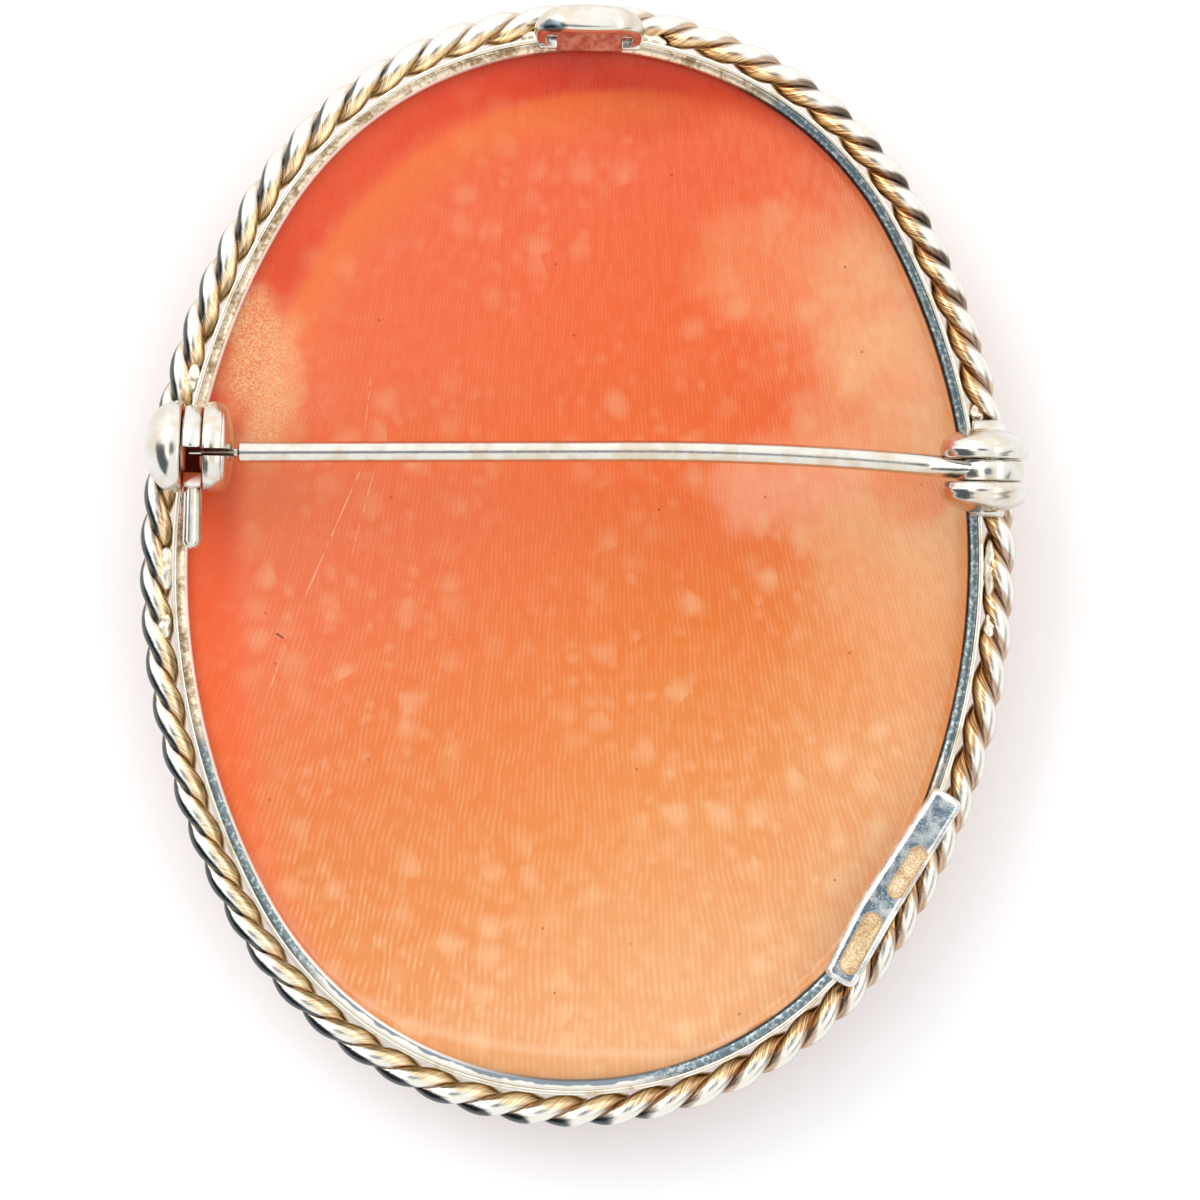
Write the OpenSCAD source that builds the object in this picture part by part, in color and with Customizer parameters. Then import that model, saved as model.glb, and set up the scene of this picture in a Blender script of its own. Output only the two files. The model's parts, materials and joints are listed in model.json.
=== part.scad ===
// Oval shell cameo brooch, lying face down: +Z is its back, +Y its top, +X the hinge's side.
// The origin lies under the middle of the oval, on the surface that the carving rests on.

/* [Oval] */
// Width of the shell seen inside the bearer ring
window_w = 34.6; // [33:0.1:36]
// Length of the shell seen inside the bearer ring
window_l = 45.6; // [44:0.1:48]
// Radius of the oval's two end arcs, at the edge of the window
end_r = 15.3; // [13.5:0.1:15.8]

/* [Shell] */
// Height of the carving over the middle of the ground
relief_h = 1.3; // [1:0.05:1.8]
// Rise of the domed ground from its edge to its middle
dome_rise = 3.5; // [2.5:0.1:4.5]
// Thickness of the shell at its middle, without the carving
shell_t = 2.0; // [1.6:0.1:2.4]
// Thickness of the shell at its edge
edge_t = 1.5; // [1.2:0.1:2]
// Gap between the shell and the metal round it
shell_gap = 0.05; // [0.03:0.01:0.1]
// Half width of the polished hollow in the back
hollow_half_w = 16.3; // [15:0.1:17]
// Half length of the polished hollow in the back
hollow_half_l = 20.7; // [19:0.1:22]
// How far the hollow sits towards the hinge
hollow_right = 1.0; // [0:0.1:1.5]
// How far the hollow sits towards the foot
hollow_down = 0.85; // [0:0.05:1.5]

/* [Carving] */
// Radius of the ring that the big flower's outer petals stand on
flower_r = 4.3; // [3.8:0.1:5]
// Radius of an outer petal's round
petal_r = 2.7; // [2.4:0.1:3]
// Height of a leaf over the ground
leaf_h = 0.75; // [0.4:0.05:0.95]
// Length of a leaf
leaf_l = 6.6; // [5:0.1:7.5]
// Width of a leaf
leaf_w = 2.9; // [2:0.1:3.4]
// Height of a stalk over the ground
stalk_h = 0.45; // [0.3:0.05:0.6]
// Radius of a small flower's petals
floret_r = 1.15; // [0.9:0.05:1.4]
// Height of a small flower over the ground
floret_h = 0.85; // [0.6:0.05:1]

/* [Bezel] */
// Thickness of the bezel's strip
strip_t = 0.22; // [0.18:0.01:0.3]
// Width of the bearer ring inside the strip
bearer_w = 0.45; // [0.35:0.01:0.6]
// Height of the bearer ring behind the shell
bearer_h = 0.7; // [0.55:0.01:0.9]
// Width of the lip that holds the shell's front edge
lip_w = 0.5; // [0.45:0.01:0.7]
// Thickness of that lip
lip_t = 0.3; // [0.2:0.01:0.4]

/* [Rope] */
// Diameter of one wire of the rope
rope_wire_d = 0.7; // [0.5:0.01:0.72]
// Distance between the two wires' centres
rope_spread = 0.75; // [0.73:0.01:0.8]
// Length of rope that holds one full turn
rope_lay = 3.9; // [3.2:0.1:4.8]
// Depth of the rope's middle under the bezel's back edge
rope_drop = 1.05; // [1:0.01:1.2]
// Gap between the rope and the bezel
rope_gap = 0.04; // [0.02:0.01:0.08]

/* [Pin] */
// Place of the hinge's middle along the oval
hinge_y = 4.55; // [3:0.05:6]
// Place of the catch's middle along the oval
catch_y = 4.8; // [3:0.05:6]
// Height of the pin's axis over the bezel's back edge
pin_h = 2.15; // [2.13:0.01:2.4]
// Diameter of the stem
stem_d = 0.92; // [0.8:0.01:1]
// Diameter of the stem where it meets its eye
stem_root_d = 1.06; // [1:0.01:1.2]
// Radius of the bow that sets the stem's spring
bow_r = 139; // [90:1:400]
// Angle at which the stem leaves the hinge
bow_angle = 4; // [3:0.1:5]
// Straight stretch between the eye and the bow
root_l = 2.9; // [2.5:0.1:4]
// Diameter of the fine tip in the catch
tip_d = 0.24; // [0.2:0.01:0.3]
// Play of a moving part beside what it moves past
play = 0.05; // [0.03:0.01:0.07]

/* [Hinge] */
// Radius of the two ears
ear_r = 1.73; // [1.65:0.01:1.9]
// Thickness of an ear at its middle
ear_t = 1.33; // [1:0.01:1.5]
// Rise of an ear's rounded outer side
ear_dome = 0.5; // [0.3:0.01:0.6]
// Thickness of the stem's eye
eye_t = 0.95; // [0.9:0.01:1.1]
// Radius of the stem's eye
eye_r = 1.5; // [1.3:0.01:1.6]
// Diameter of the rivet
rivet_d = 0.8; // [0.6:0.01:0.9]
// Gap round the rivet
rivet_gap = 0.03; // [0.02:0.01:0.05]
// Width of the hinge's base
hinge_base_w = 1.35; // [1.2:0.01:1.6]
// Length of the hinge's base
hinge_base_l = 4.35; // [4:0.05:5]

/* [Catch] */
// Radius of the catch's two discs
disc_r = 2.02; // [1.97:0.01:2.06]
// Thickness of a disc
disc_t = 0.88; // [0.7:0.01:1]
// Rise of the outer disc's rounded side
disc_dome = 0.8; // [0.4:0.01:0.9]
// Width of the turning sleeve between the discs
sleeve_w = 0.86; // [0.8:0.01:1]
// Outer radius of the sleeve
sleeve_r = 1.86; // [1.78:0.01:1.88]
// Inner radius of the sleeve
sleeve_bore_r = 1.15; // [1:0.01:1.3]
// Angle of the sleeve's open side, from the back round to the lever
sleeve_open = 61; // [50:1:66]
// Reach of the thumb lever from the catch's axis
lever_l = 4.47; // [4:0.01:4.8]
// Thickness of the lever
lever_t = 0.5; // [0.4:0.01:0.6]
// Width of the lever
lever_w = 0.8; // [0.6:0.01:0.82]
// How far the tip lies beside the catch's axis
tip_off = 0.24; // [0.22:0.01:0.3]

/* [Bail] */
// Width of the bail across the brooch
bail_w = 4.9; // [4.4:0.1:5.4]
// Radius of the bail's rounded ends
bail_r = 1.3; // [1.2:0.05:1.5]
// Depth of the bail's band, along the brooch
bail_d = 1.25; // [1:0.05:1.3]
// Thickness of the bail's band
bail_t = 0.55; // [0.4:0.05:0.65]
// Height of the bail's middle over the bezel's back edge
bail_h = 0.6; // [0.4:0.05:0.8]
// Lean of the bail out from the brooch
bail_lean = 24; // [15:1:28]

/* [Plate] */
// Width of the small plate at lower right
plate_w = 1.5; // [1.3:0.05:1.6]
// Thickness of the plate
plate_t = 0.55; // [0.4:0.05:0.7]
// Length of the plate above its bend
plate_upper_l = 5.8; // [5.4:0.1:6.4]
// Length of the plate below its bend
plate_lower_l = 3.4; // [3.2:0.1:4]
// Place of the bend round the oval, as the outward direction from +X
plate_at = -29.3; // [-31:0.1:-28]
// Distance of the bend in from the bezel's thin strip
plate_in = 0.28; // [0.1:0.01:0.4]
// Turn of the upper part from straight down
plate_upper_turn = 31; // [29:1:33]
// Turn of the lower part from straight down
plate_lower_turn = 27; // [25:1:29]
// Depth of the two bare punched fields
punch_depth = 0.12; // [0.05:0.01:0.2]

/* [Hidden] */
$fn = 48;
// A cut starts and ends this far past what it cuts
past = 0.5;

// The oval: two side arcs and two end arcs that meet smoothly. A place on it is named by its
// outward direction, and a larger or smaller oval beside it by its distance out from the window.
half_w = window_w / 2;
half_l = window_l / 2;
side_r = (half_w^2 + (half_l - end_r)^2 - end_r^2) / (2 * (half_w - end_r));
side_back = side_r - half_w;
end_up = half_l - end_r;
meet = atan2(end_up, side_back);
shell_out = bearer_w - shell_gap;
strip_out = bearer_w + strip_t;
rope_r = (rope_spread + rope_wire_d) / 2;
rope_out = strip_out + rope_gap + rope_r;

function whole_turn(a) = a - 360 * floor(a / 360);
function on_side(a) = let (t = whole_turn(a + meet)) t < 2 * meet || (t >= 180 && t < 180 + 2 * meet);
function arc_middle(a) = on_side(a) ? [cos(a) > 0 ? -side_back : side_back, 0] : [0, sin(a) > 0 ? end_up : -end_up];
function arc_radius(a, out) = out + (on_side(a) ? side_r : end_r);
function oval_at(a, out) = arc_middle(a) + arc_radius(a, out) * [cos(a), sin(a)];
// Distance of the oval from the Y axis at a height that one of the side arcs reaches
function oval_x(y, out) = sqrt((side_r + out)^2 - y^2) - side_back;

// Heights
edge_front_z = relief_h + dome_rise;
rim_z = edge_front_z + edge_t;
hollow_z = relief_h + shell_t;
hollow_deep = rim_z - hollow_z;
back_z = rim_z + bearer_h;
axis_z = back_z + pin_h;
rope_z = back_z - rope_drop;
// Findings sit this far down on the bezel, just clear of the rope
seat_z = rope_z + rope_r + 2 * rope_gap;

// The shell's round surfaces: an arc across the brooch, turned about a line across it
function bend(half, rise) = (half^2 + rise^2) / (2 * rise);
front_across = bend(half_w + shell_out, dome_rise);
front_along = bend(half_l + shell_out, dome_rise);
hollow_across = bend(hollow_half_w, hollow_deep);
hollow_along = bend(hollow_half_l, hollow_deep);
slab_h = relief_h + dome_rise + edge_t + bearer_h + past;

// The lip lies against the shell's front, where the ground is this high
lip_in = bearer_w - lip_w;
lip_back_z = relief_h + front_across - sqrt(front_across^2 - (half_w + lip_in)^2) - shell_gap;
lip_front_z = lip_back_z - lip_t;

// Hinge and catch
hinge_overhang = 0.35;
catch_inset = 0.65;
hinge_x = oval_x(hinge_y, strip_out) + hinge_overhang;
catch_x = -oval_x(catch_y, strip_out) + catch_inset;
eye_room = eye_t / 2 + play;
sleeve_room = sleeve_w / 2 + play;
catch_base_t = pin_h - sleeve_r - play + back_z - seat_z;
// The ears reach this far down into the top of their base
ear_sunk = 0.14;
hinge_base_t = pin_h - ear_r + ear_sunk + back_z - seat_z;
// Low bosses on the discs carry the sleeve
boss_h = 0.16;
tip_y = catch_y - tip_off;
slot_w = tip_d + 3 * play;
// The tip ends this far past the middle of the sleeve
tip_past = sleeve_w / 4;
// The stem narrows to its neck this far before the catch, over a short shoulder
shoulder_gap = 0.5;
shoulder_x = catch_x + sleeve_room + disc_t + shoulder_gap;
shoulder_l = 0.25;

// The stem's line: straight from the tip, then an arc, then straight into the eye
root_at = [hinge_x, hinge_y] + root_l * [-cos(bow_angle), sin(bow_angle)];
bow_middle = root_at - bow_r * [sin(bow_angle), cos(bow_angle)];
tip_from_bow = [catch_x, tip_y] - bow_middle;
straight_l = sqrt(norm(tip_from_bow)^2 - bow_r^2);
stem_heading = atan2(tip_from_bow[1], tip_from_bow[0]) + atan2(bow_r, straight_l);
bow_turn = whole_turn(stem_heading) - (180 - bow_angle);
straight_to_shoulder = straight_l - (shoulder_x - catch_x) / abs(cos(stem_heading));
// Each stretch is this much thicker than the next one and runs a little way into it
taper = 0.03;
joint_l = 0.2;
bow_d = stem_d + taper;
neck_d = tip_d + 2 * taper;

silver = [0.80, 0.79, 0.75];
warm_silver = [0.78, 0.70, 0.55];
coral = [0.96, 0.47, 0.27];

// Filled oval, with its edge so far out from the window. The end circles lie a hair inside the
// side arcs where they meet, so that the two never graze each other.
module oval_face(out) {
    $fn = 240;
    hair = 0.002;
    meet_y = end_up + (end_r + out) * sin(meet);
    intersection() {
        translate([-side_back, 0]) circle(side_r + out);
        translate([side_back, 0]) circle(side_r + out);
        square([4 * half_w, 2 * meet_y], center = true);
    }
    for (side = [-1, 1]) translate([0, side * end_up]) circle(end_r + out - hair);
}

// A band round the oval between two distances out, from one height up to another
module oval_band(inner, outer, low, high) {
    difference() {
        translate([0, 0, low]) linear_extrude(high - low) oval_face(outer);
        translate([0, 0, low - past]) linear_extrude(high - low + 2 * past) oval_face(inner);
    }
}

// A block whose lower face is domed down to a low point at the given place
module domed_block(across, along, at, low_z) {
    reach = 30;
    translate([at[0], at[1], low_z + along]) rotate([0, 90, 0]) rotate([0, 0, -reach])
        rotate_extrude(angle = 2 * reach, $fn = 240)
            intersection() {
                translate([along - across, 0]) circle(across, $fn = 360);
                translate([along - slab_h, -window_w]) square([2 * slab_h, 2 * window_w]);
            }
}

module shell_body() {
    difference() {
        intersection() {
            linear_extrude(rim_z) oval_face(shell_out);
            domed_block(front_across, front_along, [0, 0], relief_h);
        }
        domed_block(hollow_across, hollow_along, [hollow_right, -hollow_down], hollow_z);
    }
}

// One leaf, pointed at both ends, from its foot at the origin along +X
module leaf_face() {
    round_r = bend(leaf_l / 2, leaf_w / 2);
    translate([leaf_l / 2, 0]) intersection() {
        translate([0, round_r - leaf_w / 2]) circle(round_r);
        translate([0, leaf_w / 2 - round_r]) circle(round_r);
    }
}

// Leaves and stalks stand over the ground by an even height, so their tops follow the dome
module raised(height) {
    intersection() {
        domed_block(front_across + height, front_along + height, [0, 0], relief_h - height);
        linear_extrude(hollow_z) children();
    }
}

module leaves() {
    // foot across and along the oval as shares of half its size, and the way each leaf points
    foot_x = 0;
    foot_y = 1;
    points = 2;
    spray = [
        [0.24, 0.20, 35], [-0.24, 0.22, 150], [0.30, -0.06, -12], [-0.31, 0.00, 185],
        [0.19, -0.22, -50], [-0.20, -0.22, 232], [0.06, 0.28, 72], [-0.06, 0.29, 110],
        [0.04, -0.55, -38], [-0.04, -0.55, 222]
    ];
    raised(leaf_h)
        for (leaf = spray)
            translate([leaf[foot_x] * half_w, leaf[foot_y] * half_l]) rotate(leaf[points]) leaf_face();
}

module stalks() {
    stalk_w = 0.8;
    sweep_r = half_l * 0.7;
    start_y = -half_l * 0.2;
    // the stalks run round this many degrees of their sweep
    sweep = 33;
    far = 2 * half_l;
    raised(stalk_h)
        for (side = [-1, 1])
            translate([side * sweep_r, start_y]) intersection() {
                difference() {
                    circle(sweep_r + stalk_w / 2);
                    circle(sweep_r - stalk_w / 2);
                }
                polygon([[0, 0], [-side * far, 0], [-side * far, -far * tan(sweep)]]);
            }
}

// Round petals on a ring, whose lowest points stand at the given height
module petal_ring(count, ring_r, round_r, low_z, turn) {
    for (i = [0 : count - 1])
        rotate([0, 0, turn + i * 360 / count]) translate([ring_r, 0, low_z + round_r]) sphere(round_r);
}

// Cuts what would reach through to the hollow, well inside the shell's thickness
module kept_in_shell() {
    inside = 0.7;
    intersection() {
        children();
        cylinder(h = relief_h + shell_t * inside, r = half_l);
    }
}

module big_flower() {
    // the inner petals and the heart as shares of the outer petals, and how much lower they stand
    inner_ring = 0.42;
    inner_round = 0.62;
    inner_z = 0.12;
    heart_round = 0.55;
    heart_z = 0.02;
    kept_in_shell() petal_ring(6, flower_r, petal_r, 0, 10);
    kept_in_shell() petal_ring(5, flower_r * inner_ring, petal_r * inner_round, inner_z, 30);
    kept_in_shell() translate([0, 0, petal_r * heart_round + heart_z]) sphere(petal_r * heart_round);
}

// Height of the domed ground over the surface it rests on
function ground_z(x, y) = relief_h + front_along
    - sqrt((front_along - front_across + sqrt(front_across^2 - x^2))^2 - y^2);

// A small flower, each of its petals standing as high over the ground as the others
module floret(at) {
    ring_r = floret_r * 1.15;
    heart_r = floret_r * 0.7;
    heart_h = floret_h + 0.1;
    for (a = [18 : 72 : 306]) {
        petal = at + ring_r * [cos(a), sin(a)];
        translate([petal[0], petal[1], ground_z(petal[0], petal[1]) - floret_h + floret_r]) sphere(floret_r);
    }
    translate([at[0], at[1], ground_z(at[0], at[1]) - heart_h + heart_r]) sphere(heart_r);
}

module florets() {
    // across and along the oval, as shares of half its size
    places = [[-0.47, -0.42], [0.47, -0.42], [0, 0.62]];
    for (place = places) floret([place[0] * half_w, place[1] * half_l]);
}

module cameo() {
    color(coral) {
        shell_body();
        leaves();
        stalks();
        big_flower();
        florets();
    }
}

module bezel() {
    soldered = strip_t / 2;
    step = bearer_w / 6;
    oval_band(bearer_w, strip_out, lip_front_z, back_z);
    oval_band(lip_in, bearer_w + soldered, lip_front_z, lip_back_z);
    // the bearer ring, rounded at the back in three steps
    oval_band(0, bearer_w + soldered, rim_z + shell_gap, back_z - 3 * step);
    oval_band(step / 2, bearer_w - step / 2, rim_z + 2 * shell_gap, back_z - step);
    oval_band(1.5 * step, bearer_w - 1.5 * step, rim_z + 2 * shell_gap, back_z);
}

// Section of the bail's band: flat inside, rounded outside
module band_section() {
    crown = bail_t * 0.6;
    overlap = bail_t * 0.01;
    round_r = bend(bail_d / 2, crown);
    translate([-bail_t, -bail_d / 2]) square([bail_t - crown, bail_d]);
    intersection() {
        translate([-round_r, 0]) circle(round_r);
        translate([-crown - overlap, -bail_d / 2]) square([bail_t, bail_d]);
    }
}

module bail() {
    straight = bail_w / 2 - bail_r;
    lean_y = half_l + strip_out / 2;
    difference() {
        translate([0, lean_y, back_z]) rotate([-bail_lean, 0, 0]) translate([0, 0, bail_h]) rotate([90, 0, 0]) {
            for (side = [-1, 1])
                translate([side * straight, 0, 0]) rotate([0, 0, side * 90 - 90])
                    rotate([0, 0, -90]) rotate_extrude(angle = 180) translate([bail_r, 0]) band_section();
            for (side = [0, 180])
                rotate([0, 0, side]) translate([0, bail_r, 0]) rotate([0, 90, 0])
                    translate([0, 0, -straight]) linear_extrude(2 * straight) rotate(90) band_section();
        }
        translate([-bail_w, half_l - bail_w, seat_z - 2 * bail_w]) cube([2 * bail_w, 2 * bail_w, 2 * bail_w]);
    }
    // feet that carry the band down to the bezel, and stop short of both its edges
    foot_w = 0.9;
    foot_rise = 0.25;
    foot_x = straight + bail_r * 0.45;
    short = 0.05;
    for (side = [-1, 1])
        translate([side * foot_x - foot_w / 2, half_l + short, seat_z])
            cube([foot_w, strip_out - 2 * short, back_z - seat_z + foot_rise]);
}

// A rounded bar lying on the bezel, from the seat up to the given thickness
module rounded_base(length, width, thickness) {
    translate([0, 0, seat_z]) {
        translate([-width / 2, -(length - width) / 2, 0]) cube([width, length - width, thickness]);
        for (side = [-1, 1])
            translate([0, side * (length - width) / 2, 0]) cylinder(h = thickness, d = width);
    }
}

// Disc about the Z axis with a rounded far side
module domed_disc(radius, flat_t, dome) {
    overlap = 0.05;
    round_r = bend(radius, dome);
    cylinder(h = flat_t, r = radius);
    intersection() {
        translate([0, 0, flat_t + dome - round_r]) sphere(round_r);
        translate([0, 0, flat_t - overlap]) cylinder(h = dome + past, r = radius);
    }
}

module hinge_ears() {
    base_inset = 0.15;
    difference() {
        union() {
            for (side = [-1, 1])
                translate([hinge_x, hinge_y + side * eye_room, axis_z])
                    rotate([-side * 90, 0, 0]) domed_disc(ear_r, ear_t - ear_dome, ear_dome);
            translate([hinge_x - base_inset, hinge_y, 0]) rounded_base(hinge_base_l, hinge_base_w, hinge_base_t);
        }
        translate([hinge_x, hinge_y, axis_z]) rotate([90, 0, 0])
            cylinder(h = 2 * (eye_room + ear_t + past), d = rivet_d + 2 * rivet_gap, center = true);
        // room for the eye
        translate([hinge_x, hinge_y, axis_z]) rotate([90, 0, 0])
            cylinder(h = 2 * eye_room, r = eye_r + play, center = true);
    }
}

module catch_body() {
    base_l = 2.8;
    // the discs' feet stand this much higher than the base, and take up two thirds of its length
    foot_rise = 0.45;
    foot_l = base_l * 2 / 3;
    recess_r = 0.6;
    recess_depth = 0.2;
    inner_x = catch_x + sleeve_room;
    outer_x = catch_x - sleeve_room;
    difference() {
        union() {
            translate([inner_x, catch_y, axis_z]) rotate([0, 90, 0]) cylinder(h = disc_t, r = disc_r);
            translate([outer_x, catch_y, axis_z]) rotate([0, -90, 0]) domed_disc(disc_r, disc_t, disc_dome);
            translate([inner_x - boss_h, catch_y, axis_z]) rotate([0, 90, 0])
                cylinder(h = boss_h + past / 2, r = sleeve_bore_r - play);
            translate([outer_x - past / 2, catch_y, axis_z]) rotate([0, 90, 0])
                cylinder(h = boss_h + past / 2, r = sleeve_bore_r - play);
            translate([outer_x - disc_t, catch_y - base_l / 2, seat_z])
                cube([2 * (sleeve_room + disc_t), base_l, catch_base_t]);
            for (x = [outer_x - disc_t, inner_x])
                translate([x, catch_y - foot_l / 2, seat_z]) cube([disc_t, foot_l, catch_base_t + foot_rise]);
        }
        // the slot that lets the tip in
        translate([inner_x - boss_h - past, tip_y - slot_w / 2, axis_z - slot_w / 2])
            cube([boss_h + disc_t + 2 * past, slot_w, disc_r + past]);
        // the shallow hollow in the outer side
        translate([outer_x - disc_t - disc_dome - past, catch_y, axis_z]) rotate([0, 90, 0])
            cylinder(h = recess_depth + past, r = recess_r);
    }
}

// Place along the plate from its bend, as a point across the brooch
module on_plate(turn, along) {
    rotate([0, 0, -turn]) translate([0, along]) children();
}

module plate_face() {
    on_plate(plate_upper_turn, 0) translate([-plate_w / 2, 0]) square([plate_w, plate_upper_l]);
    on_plate(plate_lower_turn, -plate_lower_l) translate([-plate_w / 2, 0]) square([plate_w, plate_lower_l]);
    circle(plate_w / 2);
}

// A field with round ends, its length along Y
module round_field(length, width) {
    square([width, length - width], center = true);
    for (side = [-1, 1]) translate([0, side * (length - width) / 2]) circle(width / 2);
}

module hallmark_plate() {
    at = oval_at(plate_at, bearer_w - plate_in);
    sunk = 0.15;
    // each field's middle along its part, its distance from the middle line, its length and width
    upper_along = plate_upper_l * 0.37;
    upper_aside = 0.3;
    upper_field = [2.3, 0.72];
    lower_along = -plate_lower_l * 0.46;
    lower_aside = 0.08;
    lower_field = [2.9, 0.85];
    translate([at[0], at[1], 0]) difference() {
        translate([0, 0, back_z - sunk]) linear_extrude(plate_t + sunk) plate_face();
        translate([0, 0, back_z + plate_t - punch_depth]) linear_extrude(past) {
            on_plate(plate_upper_turn, upper_along) translate([upper_aside, 0])
                round_field(upper_field[0], upper_field[1]);
            on_plate(plate_lower_turn, lower_along) translate([lower_aside, 0])
                round_field(lower_field[0], lower_field[1]);
        }
    }
}

module setting() {
    color(silver) {
        bezel();
        bail();
        hallmark_plate();
        hinge_ears();
        catch_body();
    }
}

// One wire of the rope, swept round the oval and round the rope's own middle
module rope_wire(phase) {
    rings_per_turn = 10;
    sides = 6;
    side_l = (side_r + rope_out) * 2 * meet * PI / 180;
    end_l = (end_r + rope_out) * (180 - 2 * meet) * PI / 180;
    turns = round(2 * (side_l + end_l) / rope_lay);
    rings = turns * rings_per_turn;
    // outward direction where the given length of the rope's middle line ends
    function direction_at(s) = let (
        half = floor(s / (side_l + end_l)),
        rest = s - half * (side_l + end_l)
    ) 180 * half - meet + (rest < side_l ? rest / side_l * 2 * meet : 2 * meet + (rest - side_l) / end_l * (180 - 2 * meet));
    spread_r = rope_spread / 2;
    // the six corners stand a little outside the round wire, and the flats between them inside it
    corner_r = rope_wire_d / 2 * 1.05;
    climb = atan(2 * PI * spread_r / rope_lay);
    function ring(i) = let (
        a = direction_at(i / rings * 2 * (side_l + end_l)),
        out = [cos(a), sin(a), 0],
        ahead = [-sin(a), cos(a), 0],
        up = [0, 0, 1],
        p = phase + 360 * turns * i / rings,
        middle = oval_at(a, rope_out),
        away = cos(p) * out + sin(p) * up,
        round = -sin(p) * out + cos(p) * up,
        side = cos(climb) * round - sin(climb) * ahead,
        wire = [middle[0], middle[1], rope_z] + spread_r * away
    ) [for (j = [0 : sides - 1]) let (q = (j + 0.5) * 360 / sides) wire + corner_r * (cos(q) * away + sin(q) * side)];
    points = [for (i = [0 : rings - 1]) each ring(i)];
    faces = [
        for (i = [0 : rings - 1], j = [0 : sides - 1])
            let (
                here = i * sides,
                next = (i + 1) % rings * sides,
                k = (j + 1) % sides
            ) each [[here + j, next + j, next + k], [here + j, next + k, here + k]]
    ];
    polyhedron(points = points, faces = faces, convexity = 20);
}

module rope_wire_a() {
    color(warm_silver) rope_wire(0);
}

module rope_wire_b() {
    color(warm_silver) rope_wire(180);
}

module hinge_rivet() {
    // its ends lie a little way inside the ears' rounded sides
    short = 0.05;
    length = 2 * (eye_room + ear_t - short);
    color(silver) translate([hinge_x, hinge_y, axis_z]) rotate([90, 0, 0])
        cylinder(h = length, d = rivet_d, center = true);
}

module pin_stem() {
    color(silver) {
        // eye
        difference() {
            union() {
                translate([hinge_x, hinge_y, axis_z]) rotate([90, 0, 0]) cylinder(h = eye_t, r = eye_r, center = true);
                // its root, flattened on both sides where it turns between the ears
                difference() {
                    translate([hinge_x, hinge_y, axis_z]) rotate([0, 0, 180 - bow_angle]) rotate([0, 90, 0])
                        cylinder(h = root_l + joint_l, d1 = stem_root_d, d2 = bow_d + taper);
                    for (side = [-1, 1])
                        translate([hinge_x, hinge_y + side * eye_t / 2, axis_z]) rotate([-side * 90, 0, 0])
                            cylinder(h = stem_root_d, r = ear_r + 2 * play);
                }
            }
            translate([hinge_x, hinge_y, axis_z]) rotate([90, 0, 0])
                cylinder(h = eye_t + 2 * past, d = rivet_d + 2 * rivet_gap, center = true);
        }
        // bow, a little thicker than the straight stretch that runs into it
        translate([bow_middle[0], bow_middle[1], axis_z]) rotate([0, 0, 90 - bow_angle])
            rotate_extrude(angle = bow_turn, $fn = 2160) translate([bow_r, 0]) circle(d = bow_d);
        // straight stretch, shoulder and tip
        translate([bow_middle[0], bow_middle[1], axis_z]) rotate([0, 0, stem_heading])
            translate([0, -bow_r, 0]) rotate([0, 90, 0]) {
                translate([0, 0, -joint_l]) cylinder(h = straight_to_shoulder + joint_l, d = stem_d);
                translate([0, 0, straight_to_shoulder]) cylinder(h = shoulder_l, d1 = stem_d, d2 = neck_d);
                translate([0, 0, straight_to_shoulder + shoulder_l])
                    cylinder(h = straight_l - straight_to_shoulder - shoulder_l + tip_past, d1 = neck_d, d2 = tip_d);
            }
    }
}

module catch_lock() {
    color(silver) translate([catch_x, catch_y, axis_z]) rotate([0, 90, 0]) {
        // the section lies with its X along -Z, so turning about Z is turning the sleeve
        difference() {
            union() {
                cylinder(h = sleeve_w, r = sleeve_r, center = true);
                translate([-lever_t / 2, -lever_l + lever_w / 2, -lever_w / 2]) cube([lever_t, lever_l - lever_w / 2, lever_w]);
                translate([0, -lever_l + lever_w / 2, 0]) rotate([0, 90, 0])
                    cylinder(h = lever_t, d = lever_w, center = true);
            }
            cylinder(h = sleeve_w + 2 * past, r = sleeve_bore_r, center = true);
            // the open side, from the pin's way in round towards the lever
            translate([0, 0, -sleeve_w]) linear_extrude(2 * sleeve_w) polygon([
                [0, -(tip_off - slot_w / 2)],
                [-2 * sleeve_r, -(tip_off - slot_w / 2)],
                [-2 * sleeve_r * cos(sleeve_open), -2 * sleeve_r * sin(sleeve_open)]
            ]);
        }
    }
}

cameo();
setting();
rope_wire_a();
rope_wire_b();
hinge_rivet();
pin_stem();
catch_lock();
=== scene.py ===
# An oval shell cameo brooch in twisted silver, lying face down on a pale table with its pin fastened.
import json
import math

import bmesh
import bpy
import numpy as np
from mathutils import Matrix, Vector


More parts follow.
